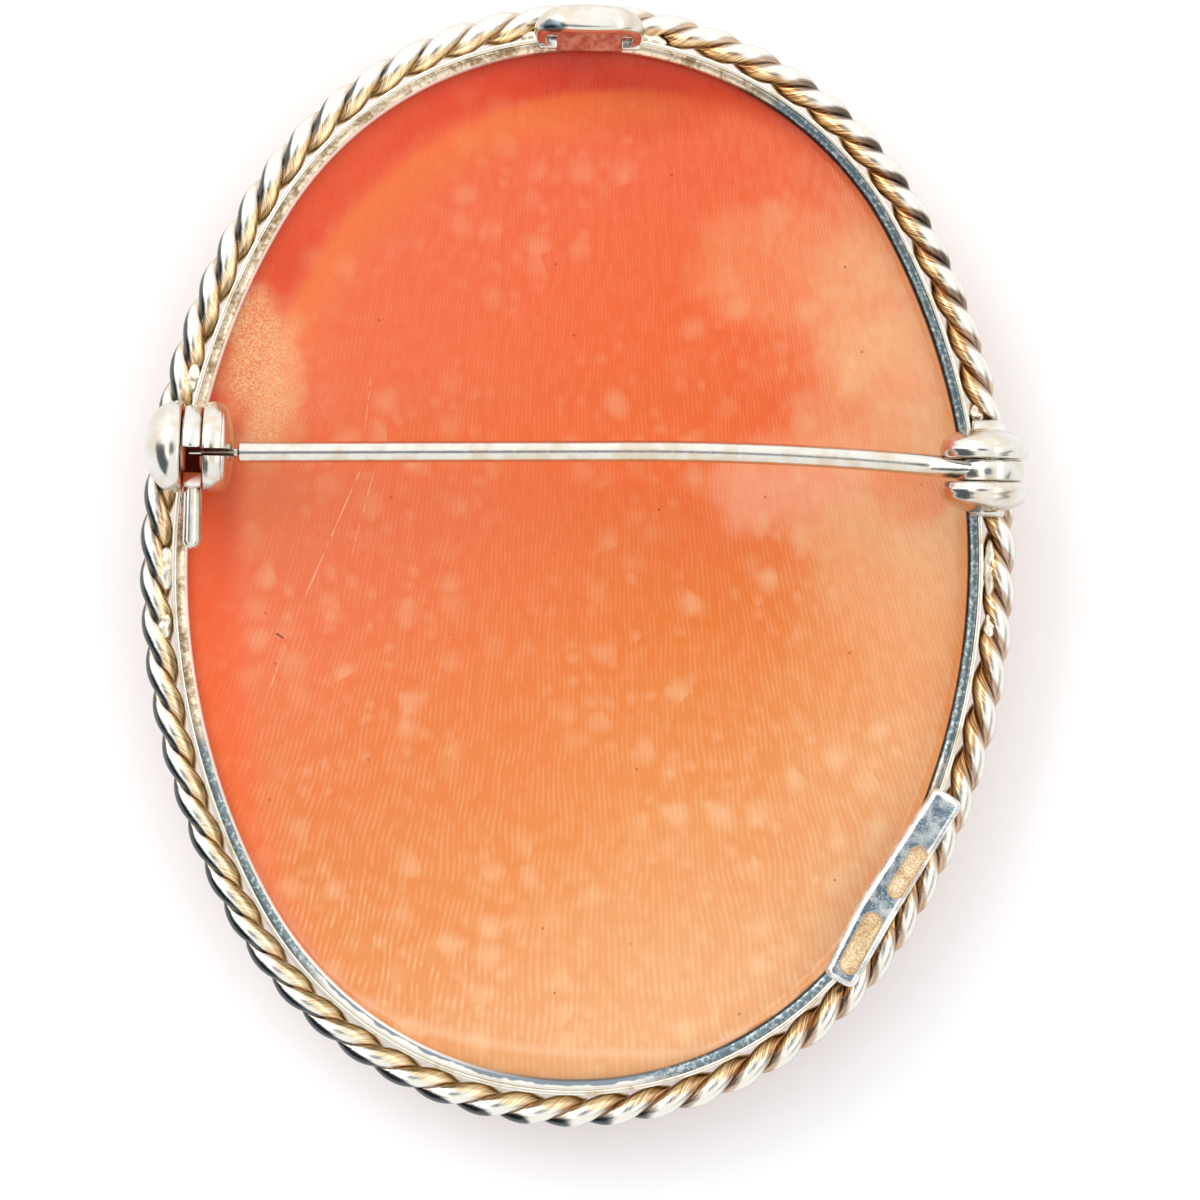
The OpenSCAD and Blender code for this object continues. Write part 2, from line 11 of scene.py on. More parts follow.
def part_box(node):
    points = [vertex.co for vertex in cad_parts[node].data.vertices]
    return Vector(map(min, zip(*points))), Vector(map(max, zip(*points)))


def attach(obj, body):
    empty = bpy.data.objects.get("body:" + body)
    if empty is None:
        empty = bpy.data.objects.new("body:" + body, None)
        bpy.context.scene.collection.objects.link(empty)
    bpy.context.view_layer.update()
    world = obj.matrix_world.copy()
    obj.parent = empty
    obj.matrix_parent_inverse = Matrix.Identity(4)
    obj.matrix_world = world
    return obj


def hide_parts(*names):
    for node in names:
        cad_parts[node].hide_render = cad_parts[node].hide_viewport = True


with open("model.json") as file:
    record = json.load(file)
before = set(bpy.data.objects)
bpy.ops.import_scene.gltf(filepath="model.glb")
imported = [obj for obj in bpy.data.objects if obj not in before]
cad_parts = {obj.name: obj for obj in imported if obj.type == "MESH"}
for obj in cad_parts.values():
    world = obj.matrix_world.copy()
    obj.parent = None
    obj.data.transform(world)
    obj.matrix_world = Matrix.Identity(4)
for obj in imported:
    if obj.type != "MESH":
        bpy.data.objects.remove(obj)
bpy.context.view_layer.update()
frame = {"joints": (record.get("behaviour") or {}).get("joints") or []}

MM = 0.001
FULL_TURN = 2 * math.pi

# Sizes that the frame gives
plaque_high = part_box("cameo")[1]
joint_places = {joint["name"]: Vector(joint["pos_m"]) for joint in frame["joints"]}
hinge = joint_places["pin_swing"]
catch = joint_places["lock_turn"]
rim_z = plaque_high.z

# The oval is drawn by two side arcs and two end arcs, and measured where the shell shows inside its mount
SHELL_TUCK = 0.4 * MM
END_R = 15.3 * MM
half_w = plaque_high.x - SHELL_TUCK
half_l = plaque_high.y - SHELL_TUCK
side_r = (half_w**2 + (half_l - END_R) ** 2 - END_R**2) / (2 * (half_w - END_R))
side_back = side_r - half_w
end_up = half_l - END_R
meet = math.atan2(end_up, side_back)

# The bezel
BEARER_W = 0.45 * MM
BEARER_H = 0.7 * MM
STRIP_T = 0.22 * MM
LIP_W = 0.5 * MM
LIP_T = 0.3 * MM
strip_out = BEARER_W + STRIP_T
back_z = rim_z + BEARER_H
# Outward directions, in degrees, where the ring was joined and where it is notched
RING_SEAM = -93.5
RING_NOTCH = -132.7
# Equal stretches that each ring is bent from, and how their edges are rounded
STRIP_STEPS = 260
STRIP_ROUND = STRIP_T * 0.32
RING_STEPS = 420
RING_SLOPE = 0.1 * MM
RING_ROUND = BEARER_W * 0.42
RING_EDGE = BEARER_W * 0.16
DENT_W = 0.22 * MM
DENT_DEEP = 0.14

# The rope of two wires round it
WIRE_R = 0.47 * MM
WIRE_SPREAD = 0.255 * MM
WIRE_FLAT = 0.008 * MM
ROPE_GAP = 0.04 * MM
ROPE_LAY = 3.9 * MM
rope_r = 0.725 * MM
rope_out = strip_out + ROPE_GAP + rope_r
rope_low, rope_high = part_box("rope_wire_a")
rope_z = (rope_low.z + rope_high.z) / 2
seat_z = rope_z + rope_r + 2 * ROPE_GAP

# The hollow in the back, a rounded oval of its own beside the shell's middle
HOLLOW_AT = Vector((1.8, -0.2)) * MM
HOLLOW_HALF = Vector((17.0, 21.6)) * MM
HOLLOW_DEEP = 3.0 * MM
# How square its outline is above and below, how softly its edge is rounded over,
# and where it stops short of the shell's edge
HOLLOW_CORNER_TOP = 0.25
HOLLOW_CORNER_FOOT = 0.7
HOLLOW_SOFT = 0.25 * MM
HOLLOW_STOP = 0.975

# The domed ground of the front, and the carving that stands on it
RELIEF_H = 1.3 * MM
DOME_RISE = 3.5 * MM
SHELL_GAP = 0.05 * MM

# The hinge and its pin
PLAY = 0.05 * MM
EAR_R = 1.96 * MM
EAR_BACK = 0.24 * MM
EAR_T = 1.33 * MM
EAR_DOME = 0.62 * MM
HINGE_BASE_H = 0.56 * MM
RIVET_R = 0.4 * MM
EYE_R = 1.5 * MM
EYE_T = 0.95 * MM
ROOT_L = 2.9 * MM
EAR_FILLET = 0.14 * MM
EAR_CROWN = 0.07 * MM
# Radius at which a dome ends beside its axis
AXIS_R = 0.02 * MM
# Length and width of the hinge's base, where it lies off the hinge, and how much its ends are cut away
BASE_SIZE = Vector((1.5, 4.3)) * MM
BASE_OFF = Vector((0.08, 0.14)) * MM
BASE_CUT = 0.42 * MM
FOOT_ROUND = 0.1 * MM
RIVET_PLAY = 0.01 * MM
BORE_PLAY = 0.03 * MM
EYE_FILLET = 0.12 * MM
EYE_CROWN = 0.05 * MM
# The root's depth at the eye and where that depth is reached, as shares of the eye's radius
ROOT_DEEP = 0.96
ROOT_FULL = 0.28
BOW_R = 139 * MM
BOW_ANGLE = math.radians(4)

# The catch and its turning sleeve
DISC_R = 2.02 * MM
DISC_T = 0.88 * MM
DISC_DOME = 0.8 * MM
INNER_DOME = 0.42 * MM
BOSS_H = 0.16 * MM
SLEEVE_R = 1.86 * MM
SLEEVE_BORE = 1.15 * MM
SLEEVE_W = 0.86 * MM
SLEEVE_START = math.radians(163)
SLEEVE_SWEEP = math.radians(288.5)
LEVER_L = 4.47 * MM
LEVER_W = 0.8 * MM
LEVER_T = 0.5 * MM
LEVER_IN = SLEEVE_BORE * 1.1
LEVER_SLOPE = 0.13
CATCH_BASE_L = 2.8 * MM
CATCH_FOOT_H = 0.45 * MM
OUTER_RIM = 0.3 * MM
RECESS_R = 0.6 * MM
RECESS_DEEP = 0.28 * MM
TIP_OFF = 0.24 * MM
TIP_R = 0.14
SLOT_W = 0.34 * MM
SHOULDER_X = catch.x + SLEEVE_W / 2 + PLAY + DISC_T + 0.68 * MM

# The bail
BAIL_W = 4.9 * MM
BAIL_R = 1.3 * MM
BAIL_D = 1.3 * MM
BAIL_T = 0.55 * MM
BAIL_H = 0.6 * MM
BAIL_LEAN = math.radians(24)
BAIL_OUT = 0.2 * MM
BAIL_ARCH = 0.2 * MM
BAIL_CUT = -0.66 * MM
BAIL_CROWN = BAIL_T * 0.24
BAIL_NARROW = 0.72
BAIL_SOFT = 0.13 * MM
BAIL_STEPS = 28
BAIL_FOOT_W = 0.86 * MM
BAIL_FOOT_H = 0.3 * MM
# Its seat: half widths at the shell and at the rope, reach below and above, and slope
SADDLE_NEAR = 1.42 * MM
SADDLE_FAR = 2.15 * MM
SADDLE_LOW = 0.15 * MM
SADDLE_HIGH = 0.34 * MM
SADDLE_SLOPE = 0.3 * MM

# Runs of solder: outward direction in degrees, then length, distance out and width in millimetres
SOLDER_Z = rope_z + 0.42 * MM
SOLDER_H = 0.36 * MM
SOLDER = [
    (181.0, 1.9, 0.95, 0.75), (185.5, 1.3, 1.1, 0.6), (165.5, 1.5, 1.0, 0.6), (0.5, 2.6, 1.0, 0.55),
    (-4.0, 1.2, 1.15, 0.6), (13.0, 1.0, 1.05, 0.55), (80.5, 1.6, 0.8, 0.6), (98.5, 1.3, 0.8, 0.6),
]

# The small bent plate
PLATE_W = 1.5 * MM
PLATE_T = 0.55 * MM
PLATE_SWELL = 1.13
PLATE_BEVEL = 0.30 * MM
PLATE_CORNER = 0.36 * MM
PLATE_UPPER_L = 6.05 * MM
PLATE_LOWER_L = 3.6 * MM
PLATE_AT = math.radians(-29.3)
PLATE_IN = 0.28 * MM
PLATE_UPPER = math.radians(31)
PLATE_LOWER = math.radians(27)
PUNCH_DEEP = 0.11 * MM
PUNCH_EDGE = 0.035 * MM
# The edge of a field is longer and wider than its floor by this many millimetres
PUNCH_GROWN = 0.16

# The camera looks straight down from this high over the rope, and sees this width there
CAMERA_UP = 0.25
CAMERA_OFF = Vector((1.03, -1.51)) * MM
CAMERA_TURN = math.radians(1.30)
VIEW_W = 53.33 * MM

# Strength of the light from all round, and power of the lamp at the upper left in watts
AIR = 1.35
KEY = 0.7
# How much of that light a matt face sends back, and how much the shell's gloss adds to it
LIT = 1.21
SHEEN = 0.026
# Distance between the shell's growth lines in millimetres
LINE_STEP = 0.20


# Working on a mesh as by hand

def take(piece):
    """Makes one piece the only one that is selected."""
    bpy.ops.object.select_all(action="DESELECT")
    piece.select_set(True)
    bpy.context.view_layer.objects.active = piece


def start(kind, name, **settings):
    """A new primitive, with its place and size in its mesh."""
    bpy.ops.object.select_all(action="DESELECT")
    getattr(bpy.ops.mesh, f"primitive_{kind}_add")(**settings)
    piece = bpy.context.active_object
    piece.name = name
    piece.data.name = name
    bpy.ops.object.transform_apply(location=True, rotation=True, scale=True)
    return piece


def block(name, size, at):
    """A box of this size with its middle at a place."""
    return start("cube", name, size=1, scale=size, location=at)


def chain(name, points):
    """Opens a chain of edges through these places in edit mode, all of it selected."""
    line = start("plane", name, size=MM)
    choose_all(line)
    bpy.ops.mesh.merge(type="CENTER")
    bpy.ops.transform.translate(value=points[0])
    for here, there in zip(points, points[1:]):
        step = [end - begin for begin, end in zip(here, there)]
        bpy.ops.mesh.extrude_region_move(TRANSFORM_OT_translate={"value": step})
    bpy.ops.mesh.select_all(action="SELECT")
    return line


def middle(part):
    """The middle of a vertex, edge or face."""
    if isinstance(part, bmesh.types.BMVert):
        return part.co
    if isinstance(part, bmesh.types.BMEdge):
        return (part.verts[0].co + part.verts[1].co) / 2
    return part.calc_center_median()


def choose(piece, what, test):
    """Opens the piece in edit mode with those vertices, edges or faces selected that pass the test."""
    take(piece)
    bpy.ops.object.mode_set(mode="EDIT")
    bpy.ops.mesh.select_mode(type=what)
    bpy.ops.mesh.select_all(action="DESELECT")
    mesh = bmesh.from_edit_mesh(piece.data)
    for part in {"VERT": mesh.verts, "EDGE": mesh.edges, "FACE": mesh.faces}[what]:
        if test(part):
            part.select_set(True)
    bmesh.update_edit_mesh(piece.data)


def choose_all(piece):
    take(piece)
    bpy.ops.object.mode_set(mode="EDIT")
    bpy.ops.mesh.select_mode(type="VERT")
    bpy.ops.mesh.select_all(action="SELECT")


def done():
    bpy.ops.object.mode_set(mode="OBJECT")


def along_axis(edge, axis):
    """Whether an edge runs along X, Y or Z."""
    step = edge.verts[1].co - edge.verts[0].co
    return abs(step[axis]) > 0.99 * step.length


def round_edges(piece, width, segments, test):
    """Bevels the edges that pass the test."""
    choose(piece, "EDGE", test)
    bpy.ops.mesh.bevel(offset=width, segments=segments, affect="EDGES")
    done()


def lower(piece, by, test):
    """Moves the vertices that pass the test down."""
    choose(piece, "VERT", test)
    bpy.ops.transform.translate(value=(0, 0, -by))
    done()


def open_across(piece):
    """Takes away the faces that lie across X."""
    choose(piece, "FACE", lambda face: abs(face.normal.x) > 0.9)
    bpy.ops.mesh.delete(type="ONLY_FACE")
    done()


def close_seams(piece, reach=0.002 * MM):
    """Joins vertices that lie on each other and turns the faces outwards."""
    choose_all(piece)
    bpy.ops.mesh.remove_doubles(threshold=reach)
    bpy.ops.mesh.normals_make_consistent(inside=False)
    done()
    return piece


def finish_by(piece, kind, **settings):
    """Adds a modifier and applies it."""
    take(piece)
    modifier = piece.modifiers.new(kind, kind)
    for name, value in settings.items():
        setattr(modifier, name, value)
    bpy.ops.object.modifier_apply(modifier=modifier.name)


def soften(piece, width, segments=3, angle=30):
    """Rounds the sharp edges and shades the piece smooth between what stays sharp."""
    finish_by(piece, "BEVEL", width=width, segments=segments, limit_method="ANGLE",
              angle_limit=math.radians(angle), use_clamp_overlap=True)
    return smooth(piece)


def smooth(piece, angle=40):
    take(piece)
    bpy.ops.object.shade_smooth_by_angle(angle=math.radians(angle))
    return piece


def places(piece):
    """Where the piece's vertices lie, one row for each."""
    spots = np.empty(3 * len(piece.data.vertices))
    piece.data.vertices.foreach_get("co", spots)
    return spots.reshape(-1, 3)


def carry(piece, name, values):
    """Gives each vertex a value or a vector of its own, for a finish to use."""
    values = np.asarray(values, dtype=np.float32)
    kind, part = ("FLOAT_VECTOR", "vector") if values.ndim == 2 else ("FLOAT", "value")
    piece.data.attributes.new(name, kind, "POINT").data.foreach_set(part, values.ravel())


def mark(piece, name, test):
    """Gives each vertex a 1 where its place passes the test and a 0 where it doesn't."""
    carry(piece, name, [1.0 if test(vertex.co) else 0.0 for vertex in piece.data.vertices])


def carve(piece, tool, operation="DIFFERENCE"):
    """Cuts the tool out of the piece or joins it on, and clears it away."""
    finish_by(piece, "BOOLEAN", object=tool, operation=operation, solver="EXACT")
    bpy.data.objects.remove(tool)


def one_piece(name, parts):
    """Joins separate parts into one mesh object."""
    take(parts[0])
    for part in parts[1:]:
        part.select_set(True)
    bpy.ops.object.join()
    piece = bpy.context.active_object
    piece.name = name
    piece.data.name = name
    return piece


def set_place(piece, matrix):
    piece.data.transform(matrix)
    return piece


def turned(name, outline, place, steps=72):
    """A piece turned on a lathe: its outline's (radius, height) points are spun about the Z axis."""
    piece = chain(name, [(radius, 0, height) for radius, height in outline])
    bpy.ops.mesh.spin(steps=steps, angle=FULL_TURN, center=(0, 0, 0), axis=(0, 0, 1))
    done()
    return set_place(close_seams(piece), place)


def facing(place, direction):
    """The matrix that carries the Z axis to a direction and the origin to a place."""
    return Matrix.Translation(place) @ Vector(direction).to_track_quat("Z", "Y").to_matrix().to_4x4()


def slab(name, outline, low, high):
    """A flat piece cut to an outline of (x, y) points that runs anticlockwise."""
    piece = chain(name, [(x, y, low) for x, y in (*outline, outline[0])])
    bpy.ops.mesh.edge_face_add()
    bpy.ops.mesh.extrude_region_move(TRANSFORM_OT_translate={"value": (0, 0, high - low)})
    done()
    return close_seams(piece)


def round_bar(name, length, width, low, high, at):
    """A bar along Y with round ends, standing at a place."""
    bar = block(name, (width, length, high - low), (at[0], at[1], (low + high) / 2))
    round_edges(bar, width * 0.499, 10, lambda edge: along_axis(edge, 2))
    return bar


def drill(piece, radius, depth):
    """Bores the piece along the hinge's axis."""
    carve(piece, start("cylinder", "drill", vertices=48, radius=radius, depth=depth, location=hinge,
                       rotation=(math.pi / 2, 0, 0)))


# Laying a straight piece round the oval, as a strip of silver is bent round its stone

def arc_lengths(out):
    return 2 * meet * (side_r + out), (math.pi - 2 * meet) * (END_R + out)


def round_length(out):
    """The whole way round, so far out from the shell's window."""
    return 2 * sum(arc_lengths(out))


def direction_at(along, out):
    """Outward direction at a distance anticlockwise from the foot of the right side arc."""
    side, end = arc_lengths(out)
    turn, rest = divmod(along, side + end)
    if rest < side:
        return turn * math.pi - meet + rest / (side_r + out)
    return turn * math.pi + meet + (rest - side) / (END_R + out)


def along_to(direction, out):
    """The distance anticlockwise at which the outward direction is this one, in degrees."""
    side, end = arc_lengths(out)
    turn, rest = divmod(math.radians(direction) + meet, math.pi)
    if rest < 2 * meet:
        return turn * (side + end) + rest * (side_r + out)
    return turn * (side + end) + side + (rest - 2 * meet) * (END_R + out)


def heading(angle):
    return Vector((math.cos(angle), math.sin(angle)))


def oval_place(direction, out):
    """The point of the oval with this outward direction, so far out."""
    ahead = heading(direction)
    if (direction + meet) % math.pi < 2 * meet:
        return Vector((-math.copysign(side_back, ahead.x), 0)) + (side_r + out) * ahead
    return Vector((0, math.copysign(end_up, ahead.y))) + (END_R + out) * ahead


def lay_round(piece, out, up, begin=0.0):
    """Bends a straight piece, which runs clockwise along X with Y outwards, round the oval.

    Its own straight shape stays on it as an attribute, for patterns that follow the piece.
    """
    carry(piece, "straight", places(piece))
    for vertex in piece.data.vertices:
        along, aside, above = vertex.co
        flat = oval_place(direction_at(begin - along, out), out + aside)
        vertex.co = (flat.x, flat.y, up + above)


def long_strip(name, width, height, length, count, shape):
    """A straight bar from the origin along X, made of many equal stretches whose section is shaped once.

    The shape is a function that works on one open stretch, with Y outwards and Z up from the bar's foot.
    """
    stretch = length / count
    bar = block(name, (stretch, width, height), (stretch / 2, 0, height / 2))
    open_across(bar)
    shape(bar)
    finish_by(bar, "ARRAY", count=count, use_relative_offset=True, relative_offset_displace=(1, 0, 0),
              use_merge_vertices=True, merge_threshold=0.001 * MM)
    return bar


# Mixing a finish

def srgb(red, green, blue):
    """A colour as a picture's 0 to 255 gives it."""
    def linear(part):
        part /= 255
        return part / 12.92 if part <= 0.04045 else ((part + 0.055) / 1.055) ** 2.4
    return linear(red), linear(green), linear(blue), 1.0


class Flow:
    """What comes out of a node. A sum on it adds Math nodes."""

    def __init__(self, finish, socket):
        self.finish = finish
        self.socket = socket

    def maths(self, operation, *others):
        inputs = dict(enumerate((self, *others)))
        return self.finish.node("ShaderNodeMath", {"operation": operation}, inputs)

    def __add__(self, other):
        return self.maths("ADD", other)

    def __mul__(self, other):
        return self.maths("MULTIPLY", other)

    __radd__ = __add__
    __rmul__ = __mul__

    def __sub__(self, other):
        return self.maths("SUBTRACT", other)

    def __rsub__(self, other):
        return (self * -1) + other

    def __truediv__(self, other):
        return self.maths("DIVIDE", other)

    def __pow__(self, other):
        return self.maths("POWER", other)

    def between(self, low, high):
        """0 at low and 1 at high, with a soft start and end. low may be the larger of the two."""
        values = {"Value": self, "From Min": low, "From Max": high, "To Min": 0.0, "To Max": 1.0}
        return self.finish.node("ShaderNodeMapRange", {"interpolation_type": "SMOOTHSTEP"}, values)


class Mixer:
    """A tree of nodes round one shader, and the one method that adds a node to it."""

    def __init__(self, tree, shader):
        self.tree = tree
        self.shader = tree.nodes[shader]

    def feed(self, socket, value):
        if isinstance(value, Flow):
            self.tree.links.new(value.socket, socket)
        else:
            socket.default_value = value

    def node(self, kind, settings=None, inputs=None, output=0):
        node = self.tree.nodes.new(kind)
        for name, value in (settings or {}).items():
            if name == "stops":
                self.set_stops(node.color_ramp, value)
            else:
                setattr(node, name, value)
        for name, value in (inputs or {}).items():
            self.feed(node.inputs[name], value)
        return Flow(self, node.outputs[output])

    def set_stops(self, ramp, stops):
        while len(ramp.elements) < len(stops):
            ramp.elements.new(1.0)
        for element, (position, colour) in zip(ramp.elements, stops):
            element.position = position
            element.color = colour

    def ramp(self, share, stops):
        return self.node("ShaderNodeValToRGB", {"stops": stops}, {"Fac": share})

    def blend(self, share, under, over):
        return self.node("ShaderNodeMix", {"data_type": "RGBA"}, {0: share, 6: under, 7: over}, output=2)

    def vector(self, x, y, z=0.0):
        return self.node("ShaderNodeCombineXYZ", None, {0: x, 1: y, 2: z})

    def split(self, vector):
        node = self.tree.nodes.new("ShaderNodeSeparateXYZ")
        self.feed(node.inputs[0], vector)
        return [Flow(self, output) for output in node.outputs]

    def in_mm(self, vector):
        return self.node("ShaderNodeVectorMath", {"operation": "SCALE"}, {"Vector": vector, "Scale": 1 / MM})

    def place(self):
        """Where a point lies, in millimetres."""
        return self.in_mm(self.node("ShaderNodeTexCoord", output="Object"))

    def carried(self, name, output="Fac"):
        """A value that the mesh carries."""
        return self.node("ShaderNodeAttribute", {"attribute_name": name}, output=output)

    def noise(self, vector, scale, detail=2.0, rough=0.5):
        inputs = {"Vector": vector, "Scale": scale, "Detail": detail, "Roughness": rough}
        return self.node("ShaderNodeTexNoise", None, inputs)

    def cells(self, vector, scale):
        """Distance to the middle of the nearest cell, and that cell's lot from 0 to 1."""
        inputs = {"Vector": vector, "Scale": scale}
        near = self.node("ShaderNodeTexVoronoi", {"voronoi_dimensions": "2D"}, inputs)
        return near, self.split(Flow(self, near.socket.node.outputs["Color"]))[0]

    def bumps(self, height, distance, strength=1.0):
        """Raises the surface by a height from 0 to 1, times a distance in metres."""
        inputs = {"Height": height, "Distance": distance, "Strength": strength}
        self.feed(self.shader.inputs["Normal"], self.node("ShaderNodeBump", None, inputs))

    def put(self, **values):
        """Sets the shader's sockets, named with _ for a space."""
        for name, value in values.items():
            self.feed(self.shader.inputs[name.replace("_", " ")], value)


class Finish(Mixer):
    """The nodes of a material."""

    def __init__(self, name):
        self.material = bpy.data.materials.new(name)
        self.material.use_nodes = True
        super().__init__(self.material.node_tree, "Principled BSDF")

    def on(self, piece):
        piece.data.materials.clear()
        piece.data.materials.append(self.material)


# The shell

def edge_reach(angles, out):
    """How far the oval's edge lies from its middle, in each of these directions from the middle."""
    edge = np.array([oval_place(turn, out) for turn in np.linspace(-math.pi, math.pi, 1441)])
    seen = np.unwrap(np.arctan2(edge[:, 1], edge[:, 0]))
    return np.interp(angles, seen, np.hypot(edge[:, 0], edge[:, 1]), period=FULL_TURN)


def rounded(share):
    """From 0 to 1 like the side of a dome."""
    return np.sqrt(np.clip(share * (2 - share), 0, 1))


def seen_from(x, y, foot, way):
    """How far ahead of a foot, and how far to its left, each point lies for one who looks this way."""
    ahead = (x - foot[0]) * math.cos(way) + (y - foot[1]) * math.sin(way)
    aside = (y - foot[1]) * math.cos(way) - (x - foot[0]) * math.sin(way)
    return ahead, aside


def petals(x, y, at, count, ring, size, height, turn, lean):
    """Heights of a ring of petals, each with one side that lies over the next one."""
    top = np.zeros_like(x)
    for i in range(count):
        way = math.radians(turn + i * 360 / count)
        foot = (at[0] + ring * math.cos(way), at[1] + ring * math.sin(way))
        ahead, aside = seen_from(x, y, foot, way)
        inside = 1 - np.hypot(ahead / size, aside / (size * 0.98))
        leaned = 1 - lean * (0.5 - 0.5 * np.clip(aside / size, -1, 1))
        cupped = 1 - 0.22 * np.exp(-((aside / (0.16 * size)) ** 2)) * np.clip(0.6 + ahead / size, 0, 1)
        top = np.maximum(top, height * rounded(np.clip(inside * 1.7, 0, 1)) * leaned * cupped)
    return top


def leaf(x, y, foot, points, length, width, height):
    """Heights of a pointed leaf with a middle vein and side veins."""
    ahead, left = seen_from(x, y, foot, math.radians(points))
    along, aside = ahead / length, left / (width / 2)
    edge = 4 * np.clip(along * (1 - along), 0, 0.25)
    inside = np.clip(1 - np.abs(aside) / np.maximum(edge, 0.01), 0, 1)
    middle_vein = 0.3 * np.exp(-((aside / 0.14) ** 2))
    side_veins = 0.12 * (0.5 + 0.5 * np.cos(FULL_TURN * 6 * (along + 0.22 * np.abs(aside))))
    return np.where(edge > 0, height * rounded(inside * 1.5) * (1 - middle_vein - side_veins), 0)


def carving(x, y):
    """Height of the flower spray over the shell's ground, in millimetres."""
    width, length = half_w / MM, half_l / MM
    top = np.zeros_like(x)
    for side in (-1, 1):
        right, up = x - side * 0.7 * length, y + 0.2 * length
        below = np.degrees(np.arctan2(-up, -side * right))
        band = np.clip(1 - np.abs(np.hypot(right, up) - 0.7 * length) / 0.42, 0, 1)
        top = np.maximum(top, 0.45 * rounded(band * ((below > 0) & (below < 33))))
    # each leaf: where it starts, in shares of the half width and length, and its direction in degrees
    spray = [
        (0.24, 0.20, 35), (-0.24, 0.22, 150), (0.30, -0.06, -12), (-0.31, 0.00, 185), (0.19, -0.22, -50),
        (-0.20, -0.22, 232), (0.06, 0.28, 72), (-0.06, 0.29, 110), (0.04, -0.55, -38), (-0.04, -0.55, 222),
    ]
    for across, up, points in spray:
        top = np.maximum(top, leaf(x, y, (across * width, up * length), points, 6.6, 2.9, 0.8))
    # each ring of petals: its middle, then count, distance, size, height, turn and lean
    rings = [((0, 0), 6, 4.3, 2.75, 1.36, 10, 0.35), ((0, 0), 5, 1.806, 1.72, 1.42, 30, 0.3),
             ((0, 0), 3, 0.5, 1.0, 1.45, 12, 0.3)]
    for across, up in ((-0.47, -0.42), (0.47, -0.42), (0, 0.62)):
        at = (across * width, up * length)
        rings += [(at, 5, 1.32, 1.2, 0.85, 18, 0.3), (at, 1, 0, 0.75, 0.95, 0, 0)]
    for ring in rings:
        top = np.maximum(top, petals(x, y, *ring))
    return top


def dome_radius(half):
    """Radius of the front's dome across half a width or half a length."""
    return (half**2 + DOME_RISE**2) / (2 * DOME_RISE)


def shell_plaque():
    """The shell: a round-edged slab with a domed, carved front and a polished hollow in its back."""
    plaque = start("grid", "shell_plaque", x_subdivisions=196, y_subdivisions=196, size=2)
    choose_all(plaque)
    bpy.ops.mesh.extrude_region_move(TRANSFORM_OT_translate={"value": (0, 0, -1)})
    done()
    right, up, level = places(plaque).T
    behind = level > -0.5
    disc_x = right * np.sqrt(1 - up**2 / 2)
    disc_y = up * np.sqrt(1 - right**2 / 2)
    share = np.hypot(disc_x, disc_y)
    angle = np.arctan2(disc_y, disc_x)
    reach = share * edge_reach(angle, SHELL_TUCK)
    x, y = reach * np.cos(angle), reach * np.sin(angle)

    across = (x - HOLLOW_AT.x) / HOLLOW_HALF.x
    along = (y - HOLLOW_AT.y) / HOLLOW_HALF.y
    groove_shade = HOLLOW_CORNER_FOOT + (HOLLOW_CORNER_TOP - HOLLOW_CORNER_FOOT) * np.clip(along + 0.5, 0, 1)
    hollow = across**2 + along**2 - groove_shade * across**2 * along**2
    hollow = np.maximum(hollow, (share / HOLLOW_STOP) ** 24)
    bowl = rim_z - HOLLOW_DEEP * (1 - hollow)
    to_rim = np.clip(0.5 + (bowl - rim_z) / (2 * HOLLOW_SOFT), 0, 1)
    back = bowl * (1 - to_rim) + rim_z * to_rim - HOLLOW_SOFT * to_rim * (1 - to_rim)

    dome_x, dome_y = dome_radius(plaque_high.x), dome_radius(plaque_high.y)
    ground = RELIEF_H + dome_y - np.sqrt((dome_y - dome_x + np.sqrt(dome_x**2 - x**2)) ** 2 - y**2)
    raised = carving(x / MM, y / MM)
    front = np.maximum(ground - raised * MM, 0)

    spots = np.column_stack([x, y, np.where(behind, back, front)])
    plaque.data.vertices.foreach_set("co", spots.ravel())
    carry(plaque, "carved", np.where(behind, 0, np.clip(raised / 0.35, 0, 1)))
    carry(plaque, "hollow", np.where(behind, np.clip(hollow, 0, 2), 2))
    carry(plaque, "back", np.where(behind, 1, 0))
    return smooth(close_seams(plaque), 50)


# The bezel and the twisted wire round it

def bezel_strip():
    """The thin strip that holds the shell, with its lip turned in over the shell's front."""
    dome_x = dome_radius(plaque_high.x)
    inner = half_w + BEARER_W - LIP_W
    low = RELIEF_H + dome_x - math.sqrt(dome_x**2 - inner**2) - SHELL_GAP - LIP_T

    def shape(bar):
        choose_all(bar)
        bpy.ops.mesh.bisect(plane_co=(0, 0, LIP_T), plane_no=(0, 0, 1))
        done()
        choose(bar, "FACE", lambda face: face.normal.y < -0.9 and middle(face).z < LIP_T)
        bpy.ops.mesh.extrude_region_move(TRANSFORM_OT_translate={"value": (0, -LIP_W, 0)})
        done()
        open_across(bar)
        round_edges(bar, STRIP_ROUND, 3, lambda edge: along_axis(edge, 0) and middle(edge).z > LIP_T * 1.5)

    out = BEARER_W + STRIP_T / 2
    strip = long_strip("bezel_strip", STRIP_T, back_z - low, round_length(out), STRIP_STEPS, shape)
    lay_round(strip, out, low)
    return smooth(close_seams(strip), 50)


